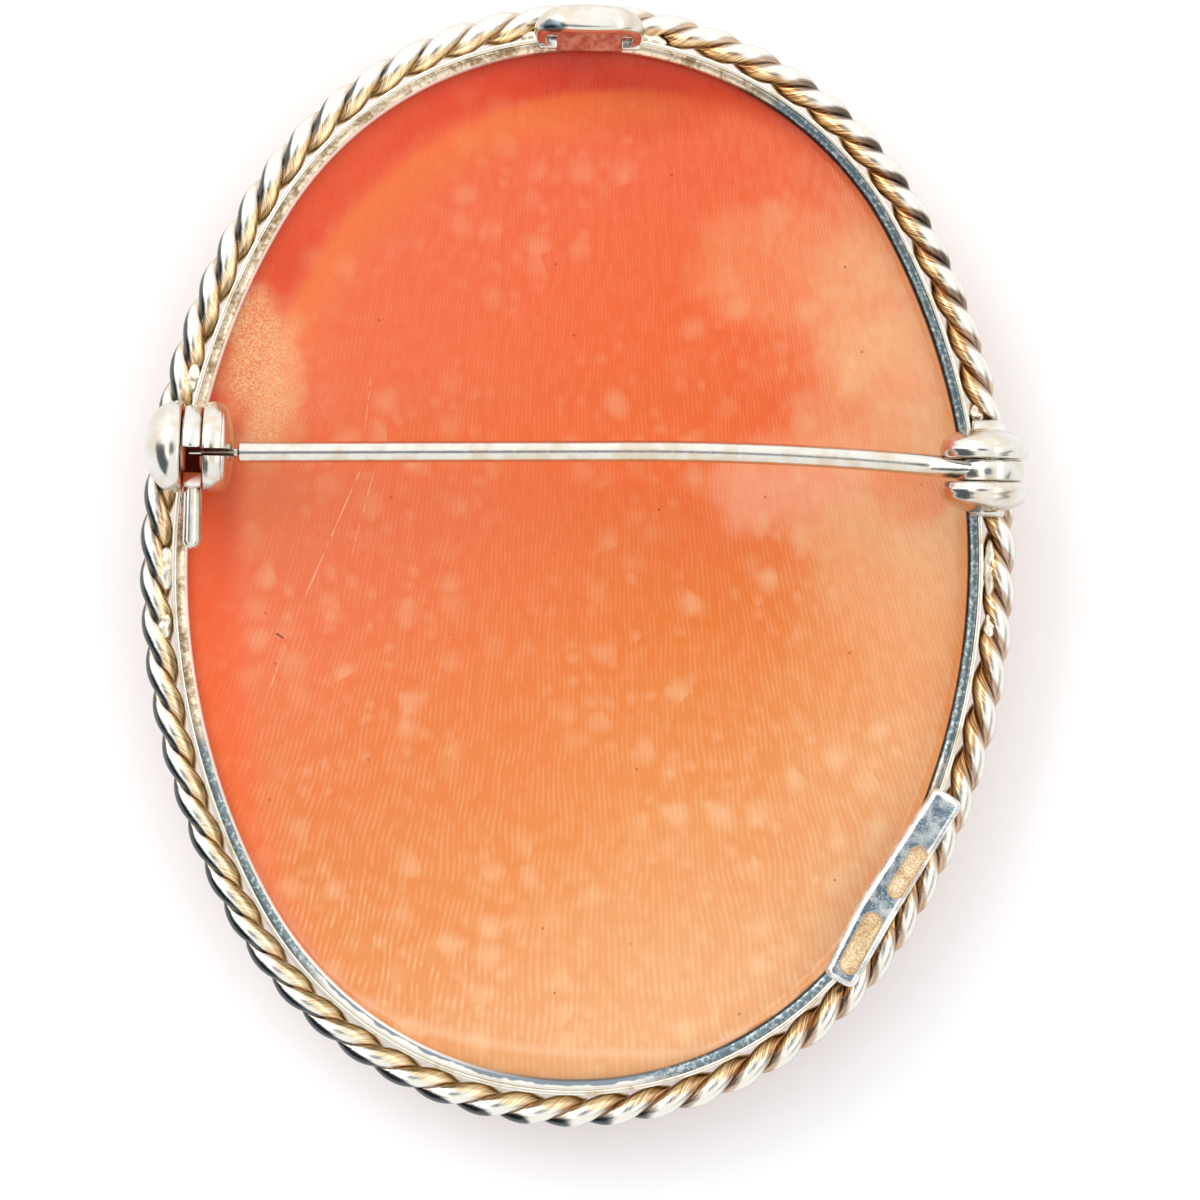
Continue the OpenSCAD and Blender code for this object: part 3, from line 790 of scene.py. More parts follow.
def bearer_ring():
    """The ring of wire on the shell's back: rounded towards the shell, uneven, with its seam and a notch."""
    def shape(bar):
        lower(bar, RING_SLOPE, lambda vertex: vertex.co.y < 0 and vertex.co.z > BEARER_H / 2)
        round_edges(bar, RING_ROUND, 5, lambda edge: along_axis(edge, 0) and middle(edge).z > BEARER_H / 2
                    and middle(edge).y < 0)
        round_edges(bar, RING_EDGE, 2, lambda edge: along_axis(edge, 0) and middle(edge).z > BEARER_H * 0.9)

    out = BEARER_W / 2
    whole = round_length(out)
    ring = long_strip("bearer_ring", BEARER_W * 1.01, BEARER_H - SHELL_GAP, whole, RING_STEPS, shape)
    dents = [whole - along_to(direction, out) for direction in (RING_SEAM, RING_NOTCH)]
    for vertex in ring.data.vertices:
        for dent in dents:
            vertex.co.z *= 1 - DENT_DEEP * math.exp(-(((vertex.co.x - dent) / DENT_W) ** 2))
        around = vertex.co.x * FULL_TURN / whole
        press = math.sin(around * 3 + 0.7) + 0.7 * math.sin(around * 8 + 2) + 0.5 * math.sin(around * 19 + 4)
        vertex.co.z *= 1 - 0.018 * (press + 1.6)
        vertex.co.y += 0.006 * MM * math.sin(around * 11 + 1)
    lay_round(ring, out, rim_z + SHELL_GAP)
    return smooth(close_seams(ring), 50)


def rope_strand(name, phase):
    """One wire of the left-handed rope, wound straight and then bent round the bezel.

    Drawing the rope tight has pressed the two wires flat where they lie on each other.
    """
    turns = round(round_length(rope_out) / ROPE_LAY)
    lay = round_length(rope_out) / turns
    climb = math.atan(FULL_TURN * WIRE_SPREAD / lay)
    strand = start("circle", name, vertices=24, radius=WIRE_R, location=(0, WIRE_SPREAD, 0),
                   rotation=(0, math.pi / 2, 0))
    for vertex in strand.data.vertices:
        vertex.co.y = max(vertex.co.y, WIRE_FLAT)
        vertex.co.z /= math.cos(climb)
    finish_by(strand, "SCREW", axis="X", angle=-FULL_TURN, screw_offset=lay, steps=36, render_steps=36,
              iterations=turns, use_merge_vertices=False)
    x, y, z = places(strand).T
    turned_by = np.arctan2(z, y) + FULL_TURN * x / lay
    away = np.hypot(y, z) * np.cos(turned_by) - WIRE_SPREAD
    aside = np.hypot(y, z) * np.sin(turned_by)
    size = np.hypot(away, aside)
    carry(strand, "section", np.column_stack([away / size, aside / size, 0 * size]))
    set_place(strand, Matrix.Rotation(phase, 4, "X"))
    lay_round(strand, rope_out, rope_z)
    close_seams(strand)
    carry(strand, "facing", [vertex.normal for vertex in strand.data.vertices])
    return smooth(strand, 80)


# The bail

def bail():
    """The fixed loop at the top: a flat-backed, rounded band bent into a long ring, and leaned outwards."""
    half_t = BAIL_D / 2
    round_r = (half_t**2 + BAIL_CROWN**2) / (2 * BAIL_CROWN)
    spread = math.asin(half_t / round_r)
    rounds = [spread - 2 * spread * i / 12 for i in range(13)]
    section = [(round_r * math.cos(a) - round_r, round_r * math.sin(a)) for a in rounds]
    section += [(-BAIL_T, -half_t), (-BAIL_T, half_t)]
    section.append(section[0])
    straight = BAIL_W / 2 - BAIL_R
    loop = chain("bail_band", [Vector((straight, -BAIL_R - far, deep)) for far, deep in section])
    bpy.ops.mesh.remove_doubles(threshold=0.001 * MM)
    for side, steps in ((1, 10), (-1, 1)):
        bpy.ops.mesh.spin(steps=BAIL_STEPS, angle=-math.pi, center=(side * straight, 0, 0), axis=(0, 0, 1))
        step = (-2 * side * straight / steps, 0, 0)
        for i in range(steps):
            bpy.ops.mesh.extrude_region_move(TRANSFORM_OT_translate={"value": step})
    done()
    soften(close_seams(loop), BAIL_SOFT, 4, 40)
    # its ends are narrower than its crown, and the crown is arched
    for vertex in loop.data.vertices:
        share = vertex.co.x / (BAIL_W / 2)
        vertex.co.z *= math.sqrt(max(0, 1 - BAIL_NARROW * share**2))
        if vertex.co.y > 0:
            vertex.co.y += BAIL_ARCH * (1 - share**2) * vertex.co.y / BAIL_R
    # the hidden lower bar is cut off, and what would reach below the seat
    big = 2 * BAIL_W
    carve(close_seams(loop), block("bar_cut", (big, big, big), (0, BAIL_CUT - big / 2, 0)))
    stand = Matrix.Translation((0, 0, BAIL_H)) @ Matrix.Rotation(math.pi / 2, 4, "X")
    lean = Matrix.Rotation(-BAIL_LEAN, 4, "X")
    set_place(loop, Matrix.Translation((0, half_l + strip_out / 2 + BAIL_OUT, back_z)) @ lean @ stand)
    carve(loop, block("seat_cut", (big, big, big), (0, half_l, seat_z - big / 2)))
    parts = [loop]
    high = back_z + BAIL_FOOT_H
    for side in (-1, 1):
        foot = block("bail_foot", (BAIL_FOOT_W, strip_out * 0.9, high - seat_z),
                     (side * (straight + BAIL_R * 0.52), half_l + strip_out / 2, (high + seat_z) / 2))
        parts.append(soften(foot, 0.09 * MM))
    return smooth(one_piece("bail", parts))


def bail_saddle():
    """The sloping seat that the bail was soldered to, painted with the red shell's reflection."""
    near, far = half_l - 0.02 * MM, half_l + strip_out + 0.1 * MM
    outline = [(-SADDLE_NEAR, near), (SADDLE_NEAR, near), (SADDLE_FAR, far), (-SADDLE_FAR, far)]
    saddle = slab("bail_saddle", outline, rim_z + SADDLE_LOW, back_z + SADDLE_HIGH)
    lower(saddle, SADDLE_SLOPE, lambda vertex: vertex.co.z > back_z and vertex.co.y < (near + far) / 2)
    return soften(saddle, 0.03 * MM)


def solder_fillets():
    """Low smooth runs of solder between the rope and the bezel, and at the feet of the findings."""
    runs = []
    for direction, length, out, wide in SOLDER:
        run = start("uv_sphere", "solder", segments=20, ring_count=12, radius=0.5)
        set_place(run, Matrix.Diagonal((length * MM, wide * MM, SOLDER_H, 1)))
        for vertex in run.data.vertices:
            wave = math.sin(vertex.co.x * 9 / MM + direction)
            vertex.co.y += 0.07 * MM * wave * (1 - 2 * abs(vertex.co.x) / (length * MM))
            vertex.co.z *= 1 + 0.25 * math.sin(vertex.co.x * 14 / MM + direction * 3)
        lay_round(run, out * MM, SOLDER_Z, along_to(direction, out * MM))
        runs.append(smooth(run, 80))
    return one_piece("solder_fillets", runs)


# The small plate at lower right

def bare_plate():
    """A narrow bent plate with two punched fields, kept bare."""
    at = oval_place(PLATE_AT, BEARER_W - PLATE_IN)
    upper = Vector((math.sin(PLATE_UPPER), math.cos(PLATE_UPPER)))
    lower_way = -Vector((math.sin(PLATE_LOWER), math.cos(PLATE_LOWER)))
    upper_side = Vector((upper.y, -upper.x)) * PLATE_W / 2
    lower_side = Vector((-lower_way.y, lower_way.x)) * PLATE_W / 2
    bend_side = (upper_side + lower_side) / 2 * PLATE_SWELL
    top, foot = at + upper * PLATE_UPPER_L, at + lower_way * PLATE_LOWER_L
    left = [top - upper_side, at - bend_side, foot - lower_side]
    right = [foot + lower_side, at + bend_side]
    high = back_z + PLATE_T
    plate = slab("bare_plate", [top + upper_side, *left, *right], back_z - 0.1 * MM, high)
    round_edges(plate, PLATE_CORNER, 4, lambda edge: along_axis(edge, 2))
    round_edges(plate, PLATE_BEVEL, 5, lambda edge: middle(edge).z > back_z + PLATE_T * 0.99)
    # each field: its way from the bend, distance, turn, distance aside, length and width
    fields = [
        (upper, 2.15 * MM, PLATE_UPPER, 0.24 * MM, 2.5, 0.7),
        (lower_way, 1.6 * MM, PLATE_LOWER, 0.06 * MM, 2.9, 0.8),
    ]
    floor_z, edge_z = high - PUNCH_DEEP, high - PUNCH_EDGE
    for way, along, turn, aside, length, width in fields:
        spot = at + way * along
        for grown, low in ((PUNCH_GROWN, edge_z), (0, floor_z)):
            size = ((length + grown) * MM, (width + grown) * MM)
            field = round_bar("field", *size, low, high + PLATE_T, (aside, 0))
            carve(plate, set_place(field, Matrix.Translation((*spot, 0)) @ Matrix.Rotation(-turn, 4, "Z")))
    near = 0.004 * MM
    mark(plate, "punched", lambda spot: abs(spot.z - floor_z) < near)
    mark(plate, "edged", lambda spot: abs(spot.z - edge_z) < near)
    mark(plate, "rubbed", lambda spot: spot.z < high - 2 * near
         and abs(spot.z - floor_z) > near and abs(spot.z - edge_z) > near)
    return smooth(plate, 30)


# The hinge and its pin

def barrel(radius, low, high, fillet, crown, steps=8):
    """Points of a disc's rim from its near side to its far one: a fillet, a slight bulge and a fillet."""
    edge = radius - crown
    turns = [math.radians(22.5 * i) for i in range(4)]
    near = [(edge - fillet + fillet * math.sin(t), low + fillet - fillet * math.cos(t)) for t in turns]
    bulge = []
    for i in range(steps + 1):
        share = 2 * i / steps - 1
        bulge.append((radius - crown * share**2, (low + high) / 2 + share * ((high - low) / 2 - fillet)))
    return near + bulge + [(r, low + high - h) for r, h in reversed(near)]


def domed(radius, low, rise, inner, steps=14):
    """Points of a disc's far side: a quarter of an ellipse, from its rim in to a smaller radius."""
    points = []
    last = math.acos(inner / radius)
    for i in range(steps + 1):
        turn = last * i / steps
        points.append((radius * math.cos(turn), low + rise * math.sin(turn)))
    return points


def hinge_ears():
    """Two thick ears with domed outer sides, on a base with cut ends."""
    high = back_z + HINGE_BASE_H
    base = block("hinge_base", (BASE_SIZE.x, BASE_SIZE.y, high - seat_z),
                 (hinge.x + BASE_OFF.x, hinge.y + BASE_OFF.y, (high + seat_z) / 2))
    round_edges(base, BASE_CUT, 1, lambda edge: along_axis(edge, 0) and middle(edge).z > back_z)
    parts = [soften(base, FOOT_ROUND)]
    flat = EAR_T - EAR_DOME
    rim = barrel(EAR_R, 0, flat, EAR_FILLET, EAR_CROWN)[:-4]
    dome = domed(EAR_R - EAR_CROWN, flat - EAR_FILLET, EAR_DOME + EAR_FILLET, AXIS_R)
    for side in (-1, 1):
        place = Vector((hinge.x - EAR_BACK, hinge.y + side * (EYE_T / 2 + PLAY), hinge.z))
        ear = turned("ear", [(0, 0), *rim, *dome, (0, EAR_T)], facing(place, (0, side, 0)), 96)
        drill(ear, RIVET_R + RIVET_PLAY, 8 * EAR_T)
        parts.append(smooth(ear))
    return one_piece("hinge_ears", parts)


def hinge_rivet():
    """The rivet, with its two spread ends flush in the ears' domes."""
    reach = EYE_T / 2 + PLAY + EAR_T - 0.02 * MM
    outline = [(0, -reach), (RIVET_R * 0.7, -reach + 0.02 * MM), (RIVET_R, -reach + 0.1 * MM)]
    outline += [(r, -h) for r, h in reversed(outline)]
    return smooth(turned("rivet", outline, facing(hinge, (0, 1, 0)), 48))


def pin_stem():
    """The pin: its eye, a stem with a slight sideways bow, and a fine tip behind a short shoulder."""
    start_way = math.pi - BOW_ANGLE
    from_hinge = heading(start_way)
    root = hinge.xy + ROOT_L * from_hinge
    bow_at = root - BOW_R * Vector((math.sin(BOW_ANGLE), math.cos(BOW_ANGLE)))
    from_bow = Vector((catch.x, catch.y - TIP_OFF)) - bow_at
    straight_l = math.sqrt(from_bow.length**2 - BOW_R**2)
    end_way = math.atan2(from_bow.y, from_bow.x) + math.atan2(BOW_R, straight_l)
    end_way %= FULL_TURN
    bow_l = BOW_R * (end_way - start_way)

    def line_at(along):
        if along < ROOT_L:
            return hinge.xy + along * from_hinge, from_hinge
        way = min(start_way + (along - ROOT_L) / BOW_R, end_way)
        ahead = heading(way)
        return bow_at + BOW_R * heading(way - math.pi / 2) + max(0, along - ROOT_L - bow_l) * ahead, ahead

    # stations along the pin, each with its radius in millimetres
    whole = ROOT_L + bow_l + straight_l
    neck = whole - (SHOULDER_X - catch.x)
    stations = [(ROOT_L * i / 16, 0.53 - 0.055 * i / 16) for i in range(16)]
    stations += [(ROOT_L + (neck - ROOT_L) * i / 90, 0.475 - 0.015 * i / 90) for i in range(90)]
    shoulder = [(0, 0.46), (0.02, 0.445), (0.05, 0.40), (0.08, 0.30), (0.12, 0.19), (0.3, TIP_R)]
    stations += [(neck + step * MM, r) for step, r in shoulder]
    tip_at = neck + shoulder[-1][0] * MM
    tip_end = whole + SLEEVE_W / 4
    stations += [(tip_at + (tip_end - tip_at) * i / 8, TIP_R - 0.03 * i / 8) for i in range(1, 8)]
    stations += [(tip_end - 0.02 * MM, 0.1), (tip_end, 0.03)]

    stem = start("cylinder", "stem", vertices=28, radius=1, depth=1, end_fill_type="TRIFAN",
                 rotation=(0, math.pi / 2, 0))
    choose(stem, "EDGE", lambda edge: along_axis(edge, 0))
    bpy.ops.mesh.subdivide(number_cuts=len(stations) - 2)
    done()
    half = EYE_T / 2
    for vertex in stem.data.vertices:
        step = round((vertex.co.x + 0.5) * (len(stations) - 1))
        along, radius = stations[step]
        spot, ahead = line_at(along)
        place = spot + vertex.co.y * radius * MM * Vector((-ahead.y, ahead.x))
        if along < EAR_R + 2 * PLAY:
            place.y = min(max(place.y, hinge.y - half), hinge.y + half)
        # the root deepens towards the eye and runs into its rim
        deeper = max(0, min(1, (ROOT_L - along) / (ROOT_L - EYE_R * ROOT_FULL))) ** 1.2
        tall = radius * MM + (EYE_R * ROOT_DEEP - radius * MM) * deeper
        vertex.co = (place.x, place.y, hinge.z + vertex.co.z * tall)
    smooth(close_seams(stem, 0.0005 * MM), 50)
    hole = RIVET_R + BORE_PLAY
    outline = [(hole, -half), *barrel(EYE_R, -half, half, EYE_FILLET, EYE_CROWN), (hole, half), (hole, -half)]
    eye = turned("eye", outline, facing(hinge, (0, 1, 0)))
    carve(eye, stem, "UNION")
    drill(eye, hole, 4 * EYE_T)
    return smooth(one_piece("pin_stem_and_eye", [eye]), 35)


# The safety catch

def catch_body():
    """The catch's base, its two discs on short feet, and the bosses that carry the sleeve."""
    room = SLEEVE_W / 2 + PLAY
    high = catch.z - SLEEVE_R - PLAY
    base = block("catch_base", (2 * (room + DISC_T), CATCH_BASE_L, high - seat_z),
                 (catch.x, catch.y, (high + seat_z) / 2))
    parts = [soften(base, FOOT_ROUND)]
    foot_high = high + CATCH_FOOT_H
    bore = SLEEVE_BORE - PLAY
    boss_line = [(0, 0), (bore, 0), (bore, BOSS_H), (bore - PLAY, BOSS_H + PLAY), (0, BOSS_H + PLAY)]
    for side in (-1, 1):
        foot = block("catch_foot", (DISC_T * 0.96, CATCH_BASE_L * 2 / 3, foot_high - seat_z),
                     (catch.x + side * (room + DISC_T / 2), catch.y, (foot_high + seat_z) / 2))
        near = catch + Vector((side * (room + PLAY), 0, 0))
        boss = turned("boss", boss_line, facing(near, (-side, 0, 0)), 48)
        parts += [soften(foot, FOOT_ROUND), boss]
    rim = barrel(DISC_R, 0, DISC_T, 0.15 * MM, 0.06 * MM)[:-2]
    dome = domed(DISC_R - 0.17 * MM, DISC_T - 0.02 * MM, INNER_DOME, AXIS_R)
    disc_line = [(0, 0), *rim, *dome, (0, DISC_T + INNER_DOME - 0.02 * MM)]
    inner = turned("inner_disc", disc_line, facing(catch + Vector((room, 0, 0)), (1, 0, 0)), 96)
    # the pin's way into the inner disc and its boss
    for part in (inner, boss):
        carve(part, block("slot", (4 * DISC_T, SLOT_W, 2 * DISC_R),
                          (catch.x + room, catch.y - TIP_OFF, catch.z - SLOT_W / 2 + DISC_R)))
    deep = DISC_T + DISC_DOME - RECESS_DEEP
    rim = barrel(DISC_R, 0, 2 * OUTER_RIM, 0.12 * MM, 0.02 * MM)[:8]
    dome = domed(DISC_R, OUTER_RIM, DISC_T + DISC_DOME - OUTER_RIM, RECESS_R + 0.05 * MM, 20)
    recess = [(RECESS_R, deep + 0.05 * MM), (RECESS_R - 0.03 * MM, deep), (0, deep - 0.02 * MM)]
    disc_line = [(0, 0), *rim, *dome, *recess]
    outer = turned("outer_disc", disc_line, facing(catch - Vector((room, 0, 0)), (-1, 0, 0)), 96)
    body = smooth(one_piece("catch_body", [*parts, inner, outer]), 35)
    # marks where the silver finish paints the shell's red reflection
    mark(body, "inside", lambda spot: abs(spot.x - catch.x) < room + 0.02 * MM
         and spot.z < catch.z + SLEEVE_BORE)
    return body


def catch_sleeve():
    """The turning sleeve, open on one side, with its thumb lever."""
    half = SLEEVE_W / 2
    rim = barrel(SLEEVE_R, -half, half, 0.16 * MM, 0.06 * MM)
    section = [(SLEEVE_BORE, -half), *rim, (SLEEVE_BORE, half), (SLEEVE_BORE, -half)]
    # the section stands where the open side ends, and the spin runs round to the pin's way in
    sleeve = chain("catch_sleeve", [Vector((h, r, 0)) for r, h in section])
    bpy.ops.mesh.remove_doubles(threshold=0.001 * MM)
    bpy.ops.mesh.edge_face_add()
    bpy.ops.mesh.spin(steps=100, angle=-SLEEVE_SWEEP, center=(0, 0, 0), axis=(1, 0, 0))
    done()
    set_place(close_seams(sleeve), Matrix.Rotation(SLEEVE_START, 4, "X"))
    lever = block("lever", (LEVER_W, LEVER_L - LEVER_IN, LEVER_T), (0, -(LEVER_L + LEVER_IN) / 2, 0))
    round_edges(lever, LEVER_W * 0.48, 8, lambda edge: along_axis(edge, 2)
                and middle(edge).y < -LEVER_L * 0.9)
    round_edges(lever, LEVER_W * 0.4, 6, lambda edge: middle(edge).z > LEVER_T * 0.49 and edge.is_manifold
                and edge.calc_face_angle() > 1)
    for vertex in lever.data.vertices:
        if vertex.co.z > 0:
            vertex.co.z -= (vertex.co.x + LEVER_W / 2) * LEVER_SLOPE
    soften(sleeve, 0.05 * MM, 3, 50)
    carve(sleeve, lever, "UNION")
    smooth(sleeve, 35)
    # marks where the silver finish paints the shell's red reflection
    mark(sleeve, "inside", lambda spot: math.hypot(spot.y, spot.z) < SLEEVE_R - 0.2 * MM)
    return set_place(sleeve, Matrix.Translation(catch))


# Finishes

def shell_tone(red, green, blue):
    """The shell's own colour where it should look like this under the studio's light."""
    return (*[max(0.0, (part - SHEEN) / LIT) for part in srgb(red, green, blue)[:3]], 1.0)


def stroke(x, y, here, there, width):
    """A thin straight stroke between two places in millimetres, 1 on it and 0 beside it."""
    length = math.dist(here, there)
    ahead = ((there[0] - here[0]) / length, (there[1] - here[1]) / length)
    along = (x - here[0]) * ahead[0] + (y - here[1]) * ahead[1]
    aside = ((y - here[1]) * ahead[0] - (x - here[0]) * ahead[1]).maths("ABSOLUTE")
    ends = along.between(0, length * 0.1) * along.between(length, length * 0.8)
    return aside.between(width, width * 0.3) * ends


def off_middle(x, y, at, across, up):
    """Squared distance from a patch's middle in millimetres, with a weight for each way."""
    return (x - at[0]) * (x - at[0]) * across + (y - at[1]) * (y - at[1]) * up


def shell_finish():
    """Polished coral shell with pale growth lines and spots behind, cream carving over coral in front."""
    f = Finish("coral_shell")
    place = f.place()
    x, y = f.split(place)[:2]
    wander = f.noise(place, 0.10, 1.0) - 0.5
    drift = f.noise(f.vector(x, y, 40.0), 0.22, 3.0, 0.6) - 0.5
    tilt = x * y.between(8, -4) * 0.45
    down = (24 - y + wander * 5 + drift * 4 + tilt) / 48
    tones = [
        (0.03, 194, 58, 36), (0.069, 224, 80, 50), (0.105, 242, 108, 70), (0.30, 241, 111, 66),
        (0.44, 239, 118, 68), (0.60, 233, 129, 66), (0.76, 232, 145, 80),
        (0.88, 234, 163, 106), (0.97, 236, 174, 122),
    ]
    body = f.ramp(down, [(share, shell_tone(*tone)) for share, *tone in tones])

    def lay(share, *tone):
        nonlocal body
        body = f.blend(share, body, shell_tone(*tone))

    # the peach side towards the hinge, and paler, pink and orange patches beside it
    side = (x + wander * 7 + drift * 8 + y.between(2, 8)).between(8.5, 16.5)
    lay(side * y.between(20, 12) * (0.25 + y.between(-6, 5) * 0.58), 248, 198, 146)
    patches = [
        ((7.8, 13.6), 0.07, 0.09, 3.0, (1.2, 0.0), 0.35, (251, 172, 118)),
        ((10.0, 3.8), 0.045, 0.12, 2.0, (1.1, 0.0), 0.8, (250, 170, 134)),
        ((14.6, 3.4), 0.22, 0.24, 2.0, (1.3, 0.2), 0.8, (246, 144, 92)),
    ]
    for at, across, up, uneven, edge, strength, tone in patches:
        lay((off_middle(x, y, at, across, up) + drift * uneven).between(*edge) * strength, *tone)
    # growth lines in short dashes, which spread apart towards the foot
    spread = x * (y * 0.020).maths("EXPONENT")
    broken = f.noise(f.vector(spread * 2.4, y), 1.0, 1.0)
    sway = f.noise(f.vector(x * 0.30, y * 0.20, 5.0), 1.0, 1.0)
    wave = (spread * (FULL_TURN / LINE_STEP) + sway * 22 + drift * 9).maths("SINE") * 0.5 + 0.5
    right = x.between(2, 14) * 0.08
    reach = f.carried("hollow")
    rows = (reach * 95 + drift * 4).maths("SINE").between(-0.6, 0.7)
    rows = rows * y.between(-11, -16) * reach.between(0.66, 0.80) * reach.between(1.0, 0.97)
    lines = wave ** 2 * broken.between(0.36, 0.60)
    lay(lines * (0.10 + y.between(4, -18) * 0.14 + rows * 0.26 + right), 250, 204, 164)
    lay((1 - wave) * broken.between(0.62, 0.40) * (0.06 + right), 226, 84, 46)
    # soft round pale spots, most of them below the middle
    patch = f.noise(f.vector(x * 0.16, y * 0.14, 12.0), 1.0, 1.0).between(0.34, 0.58)
    warped = f.vector(x + drift * 1.5, y - drift * 1.5)
    spots = (0.24 + down * 0.7) * patch
    for scale, size, strength in ((0.58, 0.50, 0.55), (1.1, 0.46, 0.30)):
        near, lot = f.cells(warped, scale)
        lay(near.between(size, 0.05) * lot.between(0.30, 0.95) * spots * strength, 250, 204, 160)
    # the rim outside the hollow is a deeper red at the upper left, with a lighter orange band inside it
    hollow = reach + drift * 0.04
    band = hollow.between(0.74, 0.92) * hollow.between(1.0, 0.95) * (y - x * 0.9).between(10, 22)
    lay(band * 0.55, 246, 128, 60)
    rim = (hollow + drift * 0.06).between(0.94, 1.05) * (y - x * 0.8).between(6, 18)
    lay(rim * (0.48 + patch * 0.18), 222, 74, 50)
    lay(hollow.between(0.90, 1.02) * y.between(13, 20) * x.between(-2, 4) * 0.5, 204, 76, 50)
    lay(hollow.between(0.86, 1.02) * x.between(-8, -14) * y.between(6, -2) * 0.5, 246, 104, 66)
    # a painted highlight along the crease of the hollow's edge, at the foot
    foot_crease_highlight = hollow.between(0.95, 0.985) * hollow.between(1.02, 0.99)
    lay(foot_crease_highlight * y.between(-13, -18) * 0.26, 254, 214, 184)
    # a speckled pale patch at the upper left
    grain = f.noise(place, 12.0, 1.0)
    pale_patch_reach = off_middle(x + (y - 8.4) * 0.2, y, (-14.2, 8.6), 0.22, 0.05)
    pale_patch = (pale_patch_reach + drift * 5.0 + (grain - 0.5) * 0.8).between(1.5, 0.0)
    lay(pale_patch * (0.30 + grain.between(0.38, 0.64) * 0.5), 249, 202, 148)
    # long pale scratches, a dark nick and small dark specks
    scratches = sum(stroke(x, y, here, there, width) * strength for here, there, width, strength in [
        ((-9.58, 4.6), (-12.78, -3.31), 0.045, 1.0), ((-12.7, -3.1), (-13.6, -5.98), 0.04, 1.0),
        ((-9.14, 4.24), (-10.2, -0.2), 0.04, 0.7), ((-9.4, 8.24), (-9.67, 5.58), 0.04, 0.7),
    ])
    gaps = f.noise(place, 2.2, 1.0).between(0.36, 0.58)
    lay(scratches.between(0, 1.2) * gaps * 0.6, 254, 214, 180)
    lay(stroke(x, y, (-13.36, -3.3), (-12.98, -3.56), 0.07) * 0.9, 112, 34, 20)
    near, lot = f.cells(place, 0.24)
    lay(near.between(0.018, 0.010) * lot.between(0.60, 0.70) * 0.6, 140, 54, 34)
    # the side towards the catch is a little deeper
    lay(x.between(3, -13) * 0.06, 150, 40, 20)
    # the front: cream carving over a coral ground
    mottle = f.noise(place, 0.9, 2.0)
    cream = f.blend(mottle, srgb(246, 226, 206), srgb(232, 196, 166))
    ground = f.blend(mottle, srgb(214, 84, 48), srgb(232, 122, 76))
    front = f.blend(f.carried("carved"), ground, cream)
    f.put(Base_Color=f.blend(f.carried("back"), front, body), Roughness=0.28 + grain * 0.08)
    f.put(IOR=1.5, Specular_IOR_Level=0.4, Coat_Weight=0.12, Coat_Roughness=0.14)
    f.bumps(wave, 0.003 * MM, 0.5)
    return f


def silver_finish():
    """Polished silver with fine rubbing marks and a little warm tarnish, and the shell's red reflection
    painted inside the catch.
    """
    f = Finish("polished_silver")
    place = f.place()
    cloud = f.noise(place, 0.9, 2.0, 0.6)
    colour = f.blend(cloud.between(0.40, 0.66) * 0.7, srgb(216, 214, 208), srgb(204, 190, 168))
    x, y, z = f.split(place)
    # a dark reflection is painted on the bail's left end
    bail_dark_reflection = off_middle(x, y, (-1.6, 23.68), 2.4, 9) + (cloud - 0.5) * 1.5
    colour = f.blend(bail_dark_reflection.between(1.2, 0.5) * z.between(8.0, 8.3) * 0.9, colour, srgb(74, 96, 108))
    # inside the catch the shell's red reflection is painted, with less metal and more roughness
    inside = f.carried("inside")
    colour = f.blend(inside, colour, srgb(186, 92, 52))
    f.put(Base_Color=colour, Metallic=1.0 - inside * 0.6, Roughness=0.13 + cloud * 0.12 + inside * 0.25)
    f.bumps(f.noise(place, 3.5, 1.0), 0.010 * MM, 0.6)
    return f


def shell_red_reflection_finish():
    """Silver with a painted reflection of the red shell."""
    f = Finish("shell_red_reflection_silver")
    place = f.place()
    cloud = f.noise(place, 3.0, 3.0, 0.65)
    colour = f.blend(cloud.between(0.35, 0.70), srgb(176, 74, 52), srgb(204, 128, 104))
    f.put(Base_Color=colour, Metallic=0.6, Roughness=0.38 + cloud * 0.2)
    f.bumps(cloud, 0.012 * MM, 0.6)
    return f


def strip_finish():
    """The thin strip's silver, creamy, with golden tarnish in long uneven patches."""
    f = Finish("creamy_strip_silver")
    place = f.place()
    cloud = f.noise(place, 0.9, 3.0, 0.65)
    colour = f.blend(cloud.between(0.48, 0.78), srgb(236, 231, 218), srgb(196, 176, 138))
    f.put(Base_Color=colour, Metallic=1.0, Roughness=0.22 + cloud * 0.2)
    f.bumps(cloud + f.noise(place, 4.0, 1.0) * 0.5, 0.02 * MM, 0.7)
    return f


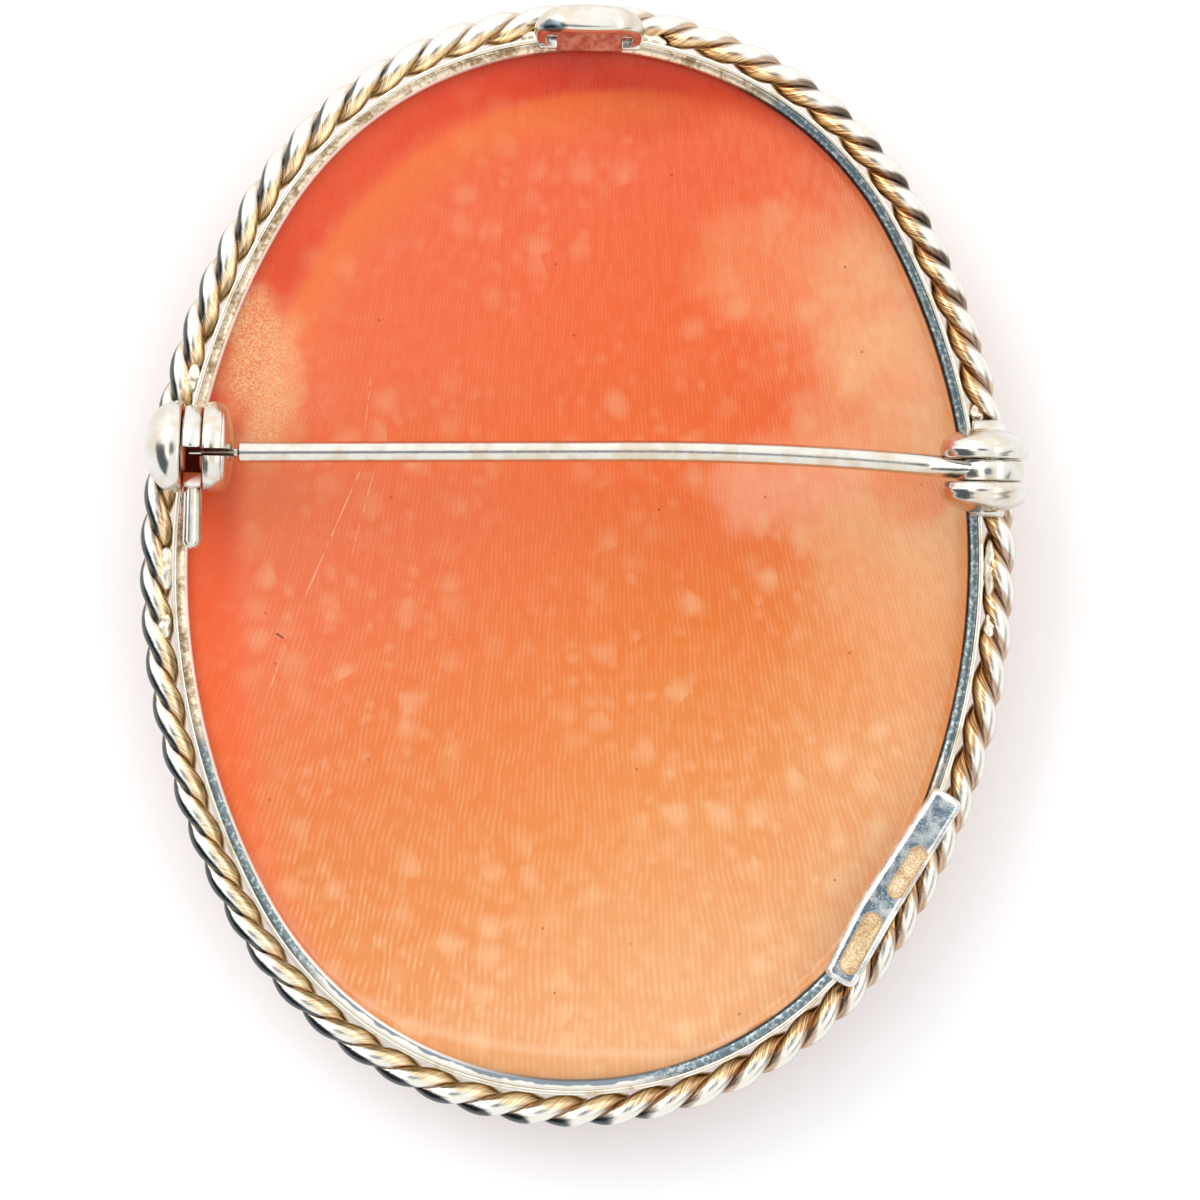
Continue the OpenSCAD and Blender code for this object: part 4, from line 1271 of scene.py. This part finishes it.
def bearer_finish():
    """The bearer ring's silver: painted slate reflections at the right and the foot, olive and golden at the
    left and top.
    """
    f = Finish("blackened_ring_silver")
    place = f.place()
    x, y = f.split(place)[:2]
    cloud = f.noise(place, 0.8, 2.0, 0.65)
    grit = f.noise(place, 6.0, 1.0)
    aside = f.split(f.in_mm(f.carried("straight", "Vector")))[1]
    worn = f.blend((cloud * 0.6 + grit * 0.4).between(0.40, 0.62), srgb(234, 216, 190), srgb(152, 126, 92))
    slate = f.blend(grit.between(0.46, 0.68) * 0.8, srgb(92, 114, 124), srgb(190, 200, 200))
    inner = (aside + (cloud - 0.5) * 0.5).between(0.04, -0.06)
    # at the foot a painted reflection: cream, with a slate band along the inner half
    sheen = f.blend(inner, srgb(242, 236, 226), srgb(118, 132, 142))
    # painted slate reflections at the right and at two places along the foot
    right = x.between(6, 10) * y.between(-12, -6)
    foot_left = x.between(-9, -13) * y.between(-5, -10) * y.between(-21, -18)
    foot_right = x.between(1, 6) * y.between(-10, -14) * 0.8
    colour = f.blend(y.between(-14, -19), worn, sheen)
    slate_reflection = right + foot_left * 0.75 + foot_right + (cloud - 0.5) * 0.5
    colour = f.blend(slate_reflection.between(0.15, 0.75) * 0.92, colour, slate)
    # its inner edge carries a painted highlight on the left, whiter and less metallic, and is black on the
    # right
    edge = aside.between(-0.10, -0.17)
    edge_highlight = edge * x.between(0, -8)
    colour = f.blend(edge_highlight * 0.9, colour, srgb(254, 250, 244))
    colour = f.blend(edge * x.between(4, 8) * 0.85, colour, srgb(34, 30, 30))
    metal = (1 - edge_highlight * 0.75) - y.between(-14, -19) * 0.3
    f.put(Base_Color=colour, Metallic=metal, Roughness=0.22 + cloud * 0.16)
    f.bumps(grit, 0.008 * MM, 0.7)
    return f


def plate_finish():
    """Silver dulled to mottled blue-grey, white where its edges are rubbed, golden in the punched fields."""
    f = Finish("dulled_plate_silver")
    place = f.place()
    mottle = f.noise(place, 12.0, 2.0, 0.6)
    cloud = f.noise(place, 1.3, 2.0, 0.6)
    dull = f.blend(cloud.between(0.44, 0.66), srgb(116, 136, 150), srgb(206, 212, 214))
    colour = f.blend(mottle.between(0.50, 0.70) * 0.7, dull, srgb(232, 234, 234))
    uneven = mottle.between(0.34, 0.62) * 0.6 + cloud.between(0.35, 0.6) * 0.4
    gold = f.blend(uneven, srgb(192, 146, 94), srgb(250, 230, 192))
    rubbed = f.carried("rubbed")
    punched = f.carried("punched")
    worn = rubbed * (0.45 + cloud.between(0.35, 0.60) * 0.45)
    colour = f.blend(worn, colour, srgb(240, 238, 232))
    colour = f.blend(punched, colour, gold)
    colour = f.blend(f.carried("edged"), colour, srgb(222, 192, 154))
    metal = (1 - punched * 0.6) - worn * 0.45
    f.put(Base_Color=colour, Metallic=metal, Roughness=0.20 + mottle * 0.16)
    f.bumps(mottle, 0.008 * MM, 0.8)
    return f


def rope_finish():
    """Silver wire with drawn lines along it, golden on its inner side and brown in the grooves."""
    f = Finish("tarnished_rope_silver")
    along, out, up = f.split(f.in_mm(f.carried("straight", "Vector")))
    cross, turn = f.split(f.carried("section", "Vector"))[:2]
    place = f.place()
    x, y = f.split(place)[:2]
    cloud = f.noise(place, 0.7, 2.0)
    drawn_lines = f.noise(f.vector(cross * 6.0, turn * 6.0, along * 0.4), 1.0, 2.0, 0.6)
    rich = x.between(-6, 12)
    pale_gold = f.blend(drawn_lines.between(0.36, 0.60), srgb(204, 168, 120), srgb(240, 222, 190))
    deep_gold = f.blend(drawn_lines.between(0.38, 0.62), srgb(160, 110, 64), srgb(240, 216, 172))
    gold = f.blend(rich, pale_gold, deep_gold)
    inward = out.between(0.20, -0.28)
    low = up.between(0.40, 0.0)
    golden = (inward * 0.85 + low * 0.5 + (cloud - 0.5) * 0.8).between(0.15, 0.85)
    colour = f.blend(golden, srgb(226, 224, 216), gold)
    groove = (cross - rich * 0.45).between(0.10, -0.42)
    brown = f.blend(drawn_lines.between(0.4, 0.6), srgb(112, 66, 34), srgb(188, 138, 84))
    colour = f.blend(groove * (0.45 + rich * 0.25), colour, brown)
    # painted dark reflections and shade on flanks that face low and to the left: black outside, brown and
    # lined inside
    right, ahead, above = f.split(f.carried("facing", "Vector"))
    shaded = (right * -0.90 - ahead * 0.42 + (cloud - 0.5) * 0.25).between(0.30, 0.52)
    outer = out.between(-0.22, 0.10) * above.between(0.02, 0.16)
    left = x.between(10, -6) * 0.75 + y.between(-8, -16) * 0.4
    colour = f.blend((shaded * outer * left).between(0, 0.8) * 0.93, colour, srgb(46, 56, 62))
    # painted shade in the grooves at the upper right
    groove_shade = groove * out.between(-0.15, 0.25) * y.between(8, 15) * x.between(6, 12)
    colour = f.blend(groove_shade * 0.85, colour, srgb(58, 50, 46))
    inner = shaded * out.between(0.12, -0.10) * rich
    umber = f.blend(drawn_lines.between(0.42, 0.58), srgb(118, 74, 40), srgb(206, 158, 104))
    colour = f.blend(inner * 0.7, colour, umber)
    f.put(Base_Color=colour, Metallic=1.0, Roughness=0.15 + drawn_lines * 0.14)
    f.bumps(drawn_lines, 0.012 * MM, 0.7)
    return f


def table_finish():
    f = Finish("pale_table")
    colour = f.blend(f.noise(f.place(), 0.02, 0.0), srgb(248, 250, 252), srgb(245, 247, 250))
    f.put(Base_Color=colour, Roughness=0.8, Specular_IOR_Level=0.2)
    return f


# The table, the lights and the camera

def studio_air():
    """Pale light from all round, darker straight above and low at the left, brighter beside the zenith."""
    world = bpy.data.worlds.new("studio_air")
    world.use_nodes = True
    f = Mixer(world.node_tree, "Background")
    x, y, z = f.split(f.node("ShaderNodeTexCoord", output="Generated"))
    warm = f.blend((y - x).between(-1.2, 1.2), (0.90, 0.885, 0.86, 1), (1.08, 1.07, 1.05, 1))
    over = x * -0.16 - y * 0.10 + z * 0.98
    air = f.blend(over.between(0.935, 0.985), warm, (0.16, 0.19, 0.23, 1))
    across = x.maths("ABSOLUTE")
    boxes = across.between(0.34, 0.44) * across.between(0.70, 0.60) * z.between(0.62, 0.72)
    air = f.blend(boxes, air, (1.5, 1.48, 1.44, 1))
    beside = (x * 0.47 - y * 0.88).maths("ABSOLUTE")
    left = (x * -0.88 - y * 0.47 - beside * 1.1).between(0.10, 0.36) * z.between(0.78, 0.64)
    air = f.blend(left * 0.95, air, (0.04, 0.052, 0.072, 1))
    right = (x * 0.85 - y * 0.5).between(0.76, 0.86) * z.between(0.20, 0.30) * z.between(0.62, 0.54)
    air = f.blend(right * 0.7, air, (0.10, 0.12, 0.15, 1))
    f.put(Color=air, Strength=AIR)
    bpy.context.scene.world = world


def light(name, place, aim, size, power, colour=(1, 1, 1)):
    lamp = bpy.data.lights.new(name, "AREA")
    lamp.shape = "RECTANGLE"
    lamp.size, lamp.size_y = size
    lamp.energy = power
    lamp.color = colour
    holder = bpy.data.objects.new(name, lamp)
    bpy.context.scene.collection.objects.link(holder)
    holder.location = place
    holder.rotation_euler = (Vector(aim) - Vector(place)).to_track_quat("-Z", "Y").to_euler()


def studio():
    table = start("plane", "table", size=1.6)
    choose_all(table)
    bpy.ops.mesh.subdivide(number_cuts=8)
    done()
    table_finish().on(table)

    studio_air()
    scene = bpy.context.scene
    scene.view_settings.view_transform = "Standard"
    lamp_at = (-0.30, 0.26, 0.36)
    light("key_upper_left", lamp_at, (0, 0, 0), (0.34, 0.34), KEY, (1.0, 0.99, 0.97))

    camera = bpy.data.cameras.new("camera")
    camera.sensor_width = 36
    camera.lens = 36 * CAMERA_UP / VIEW_W
    camera.clip_start = 0.01
    holder = bpy.data.objects.new("camera", camera)
    scene.collection.objects.link(holder)
    holder.location = (CAMERA_OFF.x, CAMERA_OFF.y, rope_z + CAMERA_UP)
    holder.rotation_euler = (0, 0, CAMERA_TURN)
    scene.camera = holder


studio()

shell_look = shell_finish()
silver_look = silver_finish()
strip_look = strip_finish()
bearer_look = bearer_finish()
shell_red_reflection_look = shell_red_reflection_finish()
rope_look = rope_finish()
plate_look = plate_finish()

plaque = shell_plaque()
shell_look.on(plaque)
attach(plaque, "brooch")
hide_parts("cameo")

mount = (
    (bezel_strip(), strip_look), (bearer_ring(), bearer_look), (bail(), silver_look),
    (bail_saddle(), shell_red_reflection_look), (solder_fillets(), strip_look), (bare_plate(), plate_look),
    (hinge_ears(), silver_look), (catch_body(), silver_look),
)
for piece, look in mount:
    look.on(piece)
    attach(piece, "brooch")
    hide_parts("setting")

for name, node, phase in (("rope_strand_a", "rope_wire_a", 0), ("rope_strand_b", "rope_wire_b", math.pi)):
    strand = rope_strand(name, phase)
    rope_look.on(strand)
    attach(strand, "brooch")
    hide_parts(node)

findings = (
    (hinge_rivet(), "hinge_rivet", "brooch"), (pin_stem(), "pin_stem", "pin"),
    (catch_sleeve(), "catch_lock", "lock"),
)
for piece, node, body in findings:
    silver_look.on(piece)
    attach(piece, body)
    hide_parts(node)
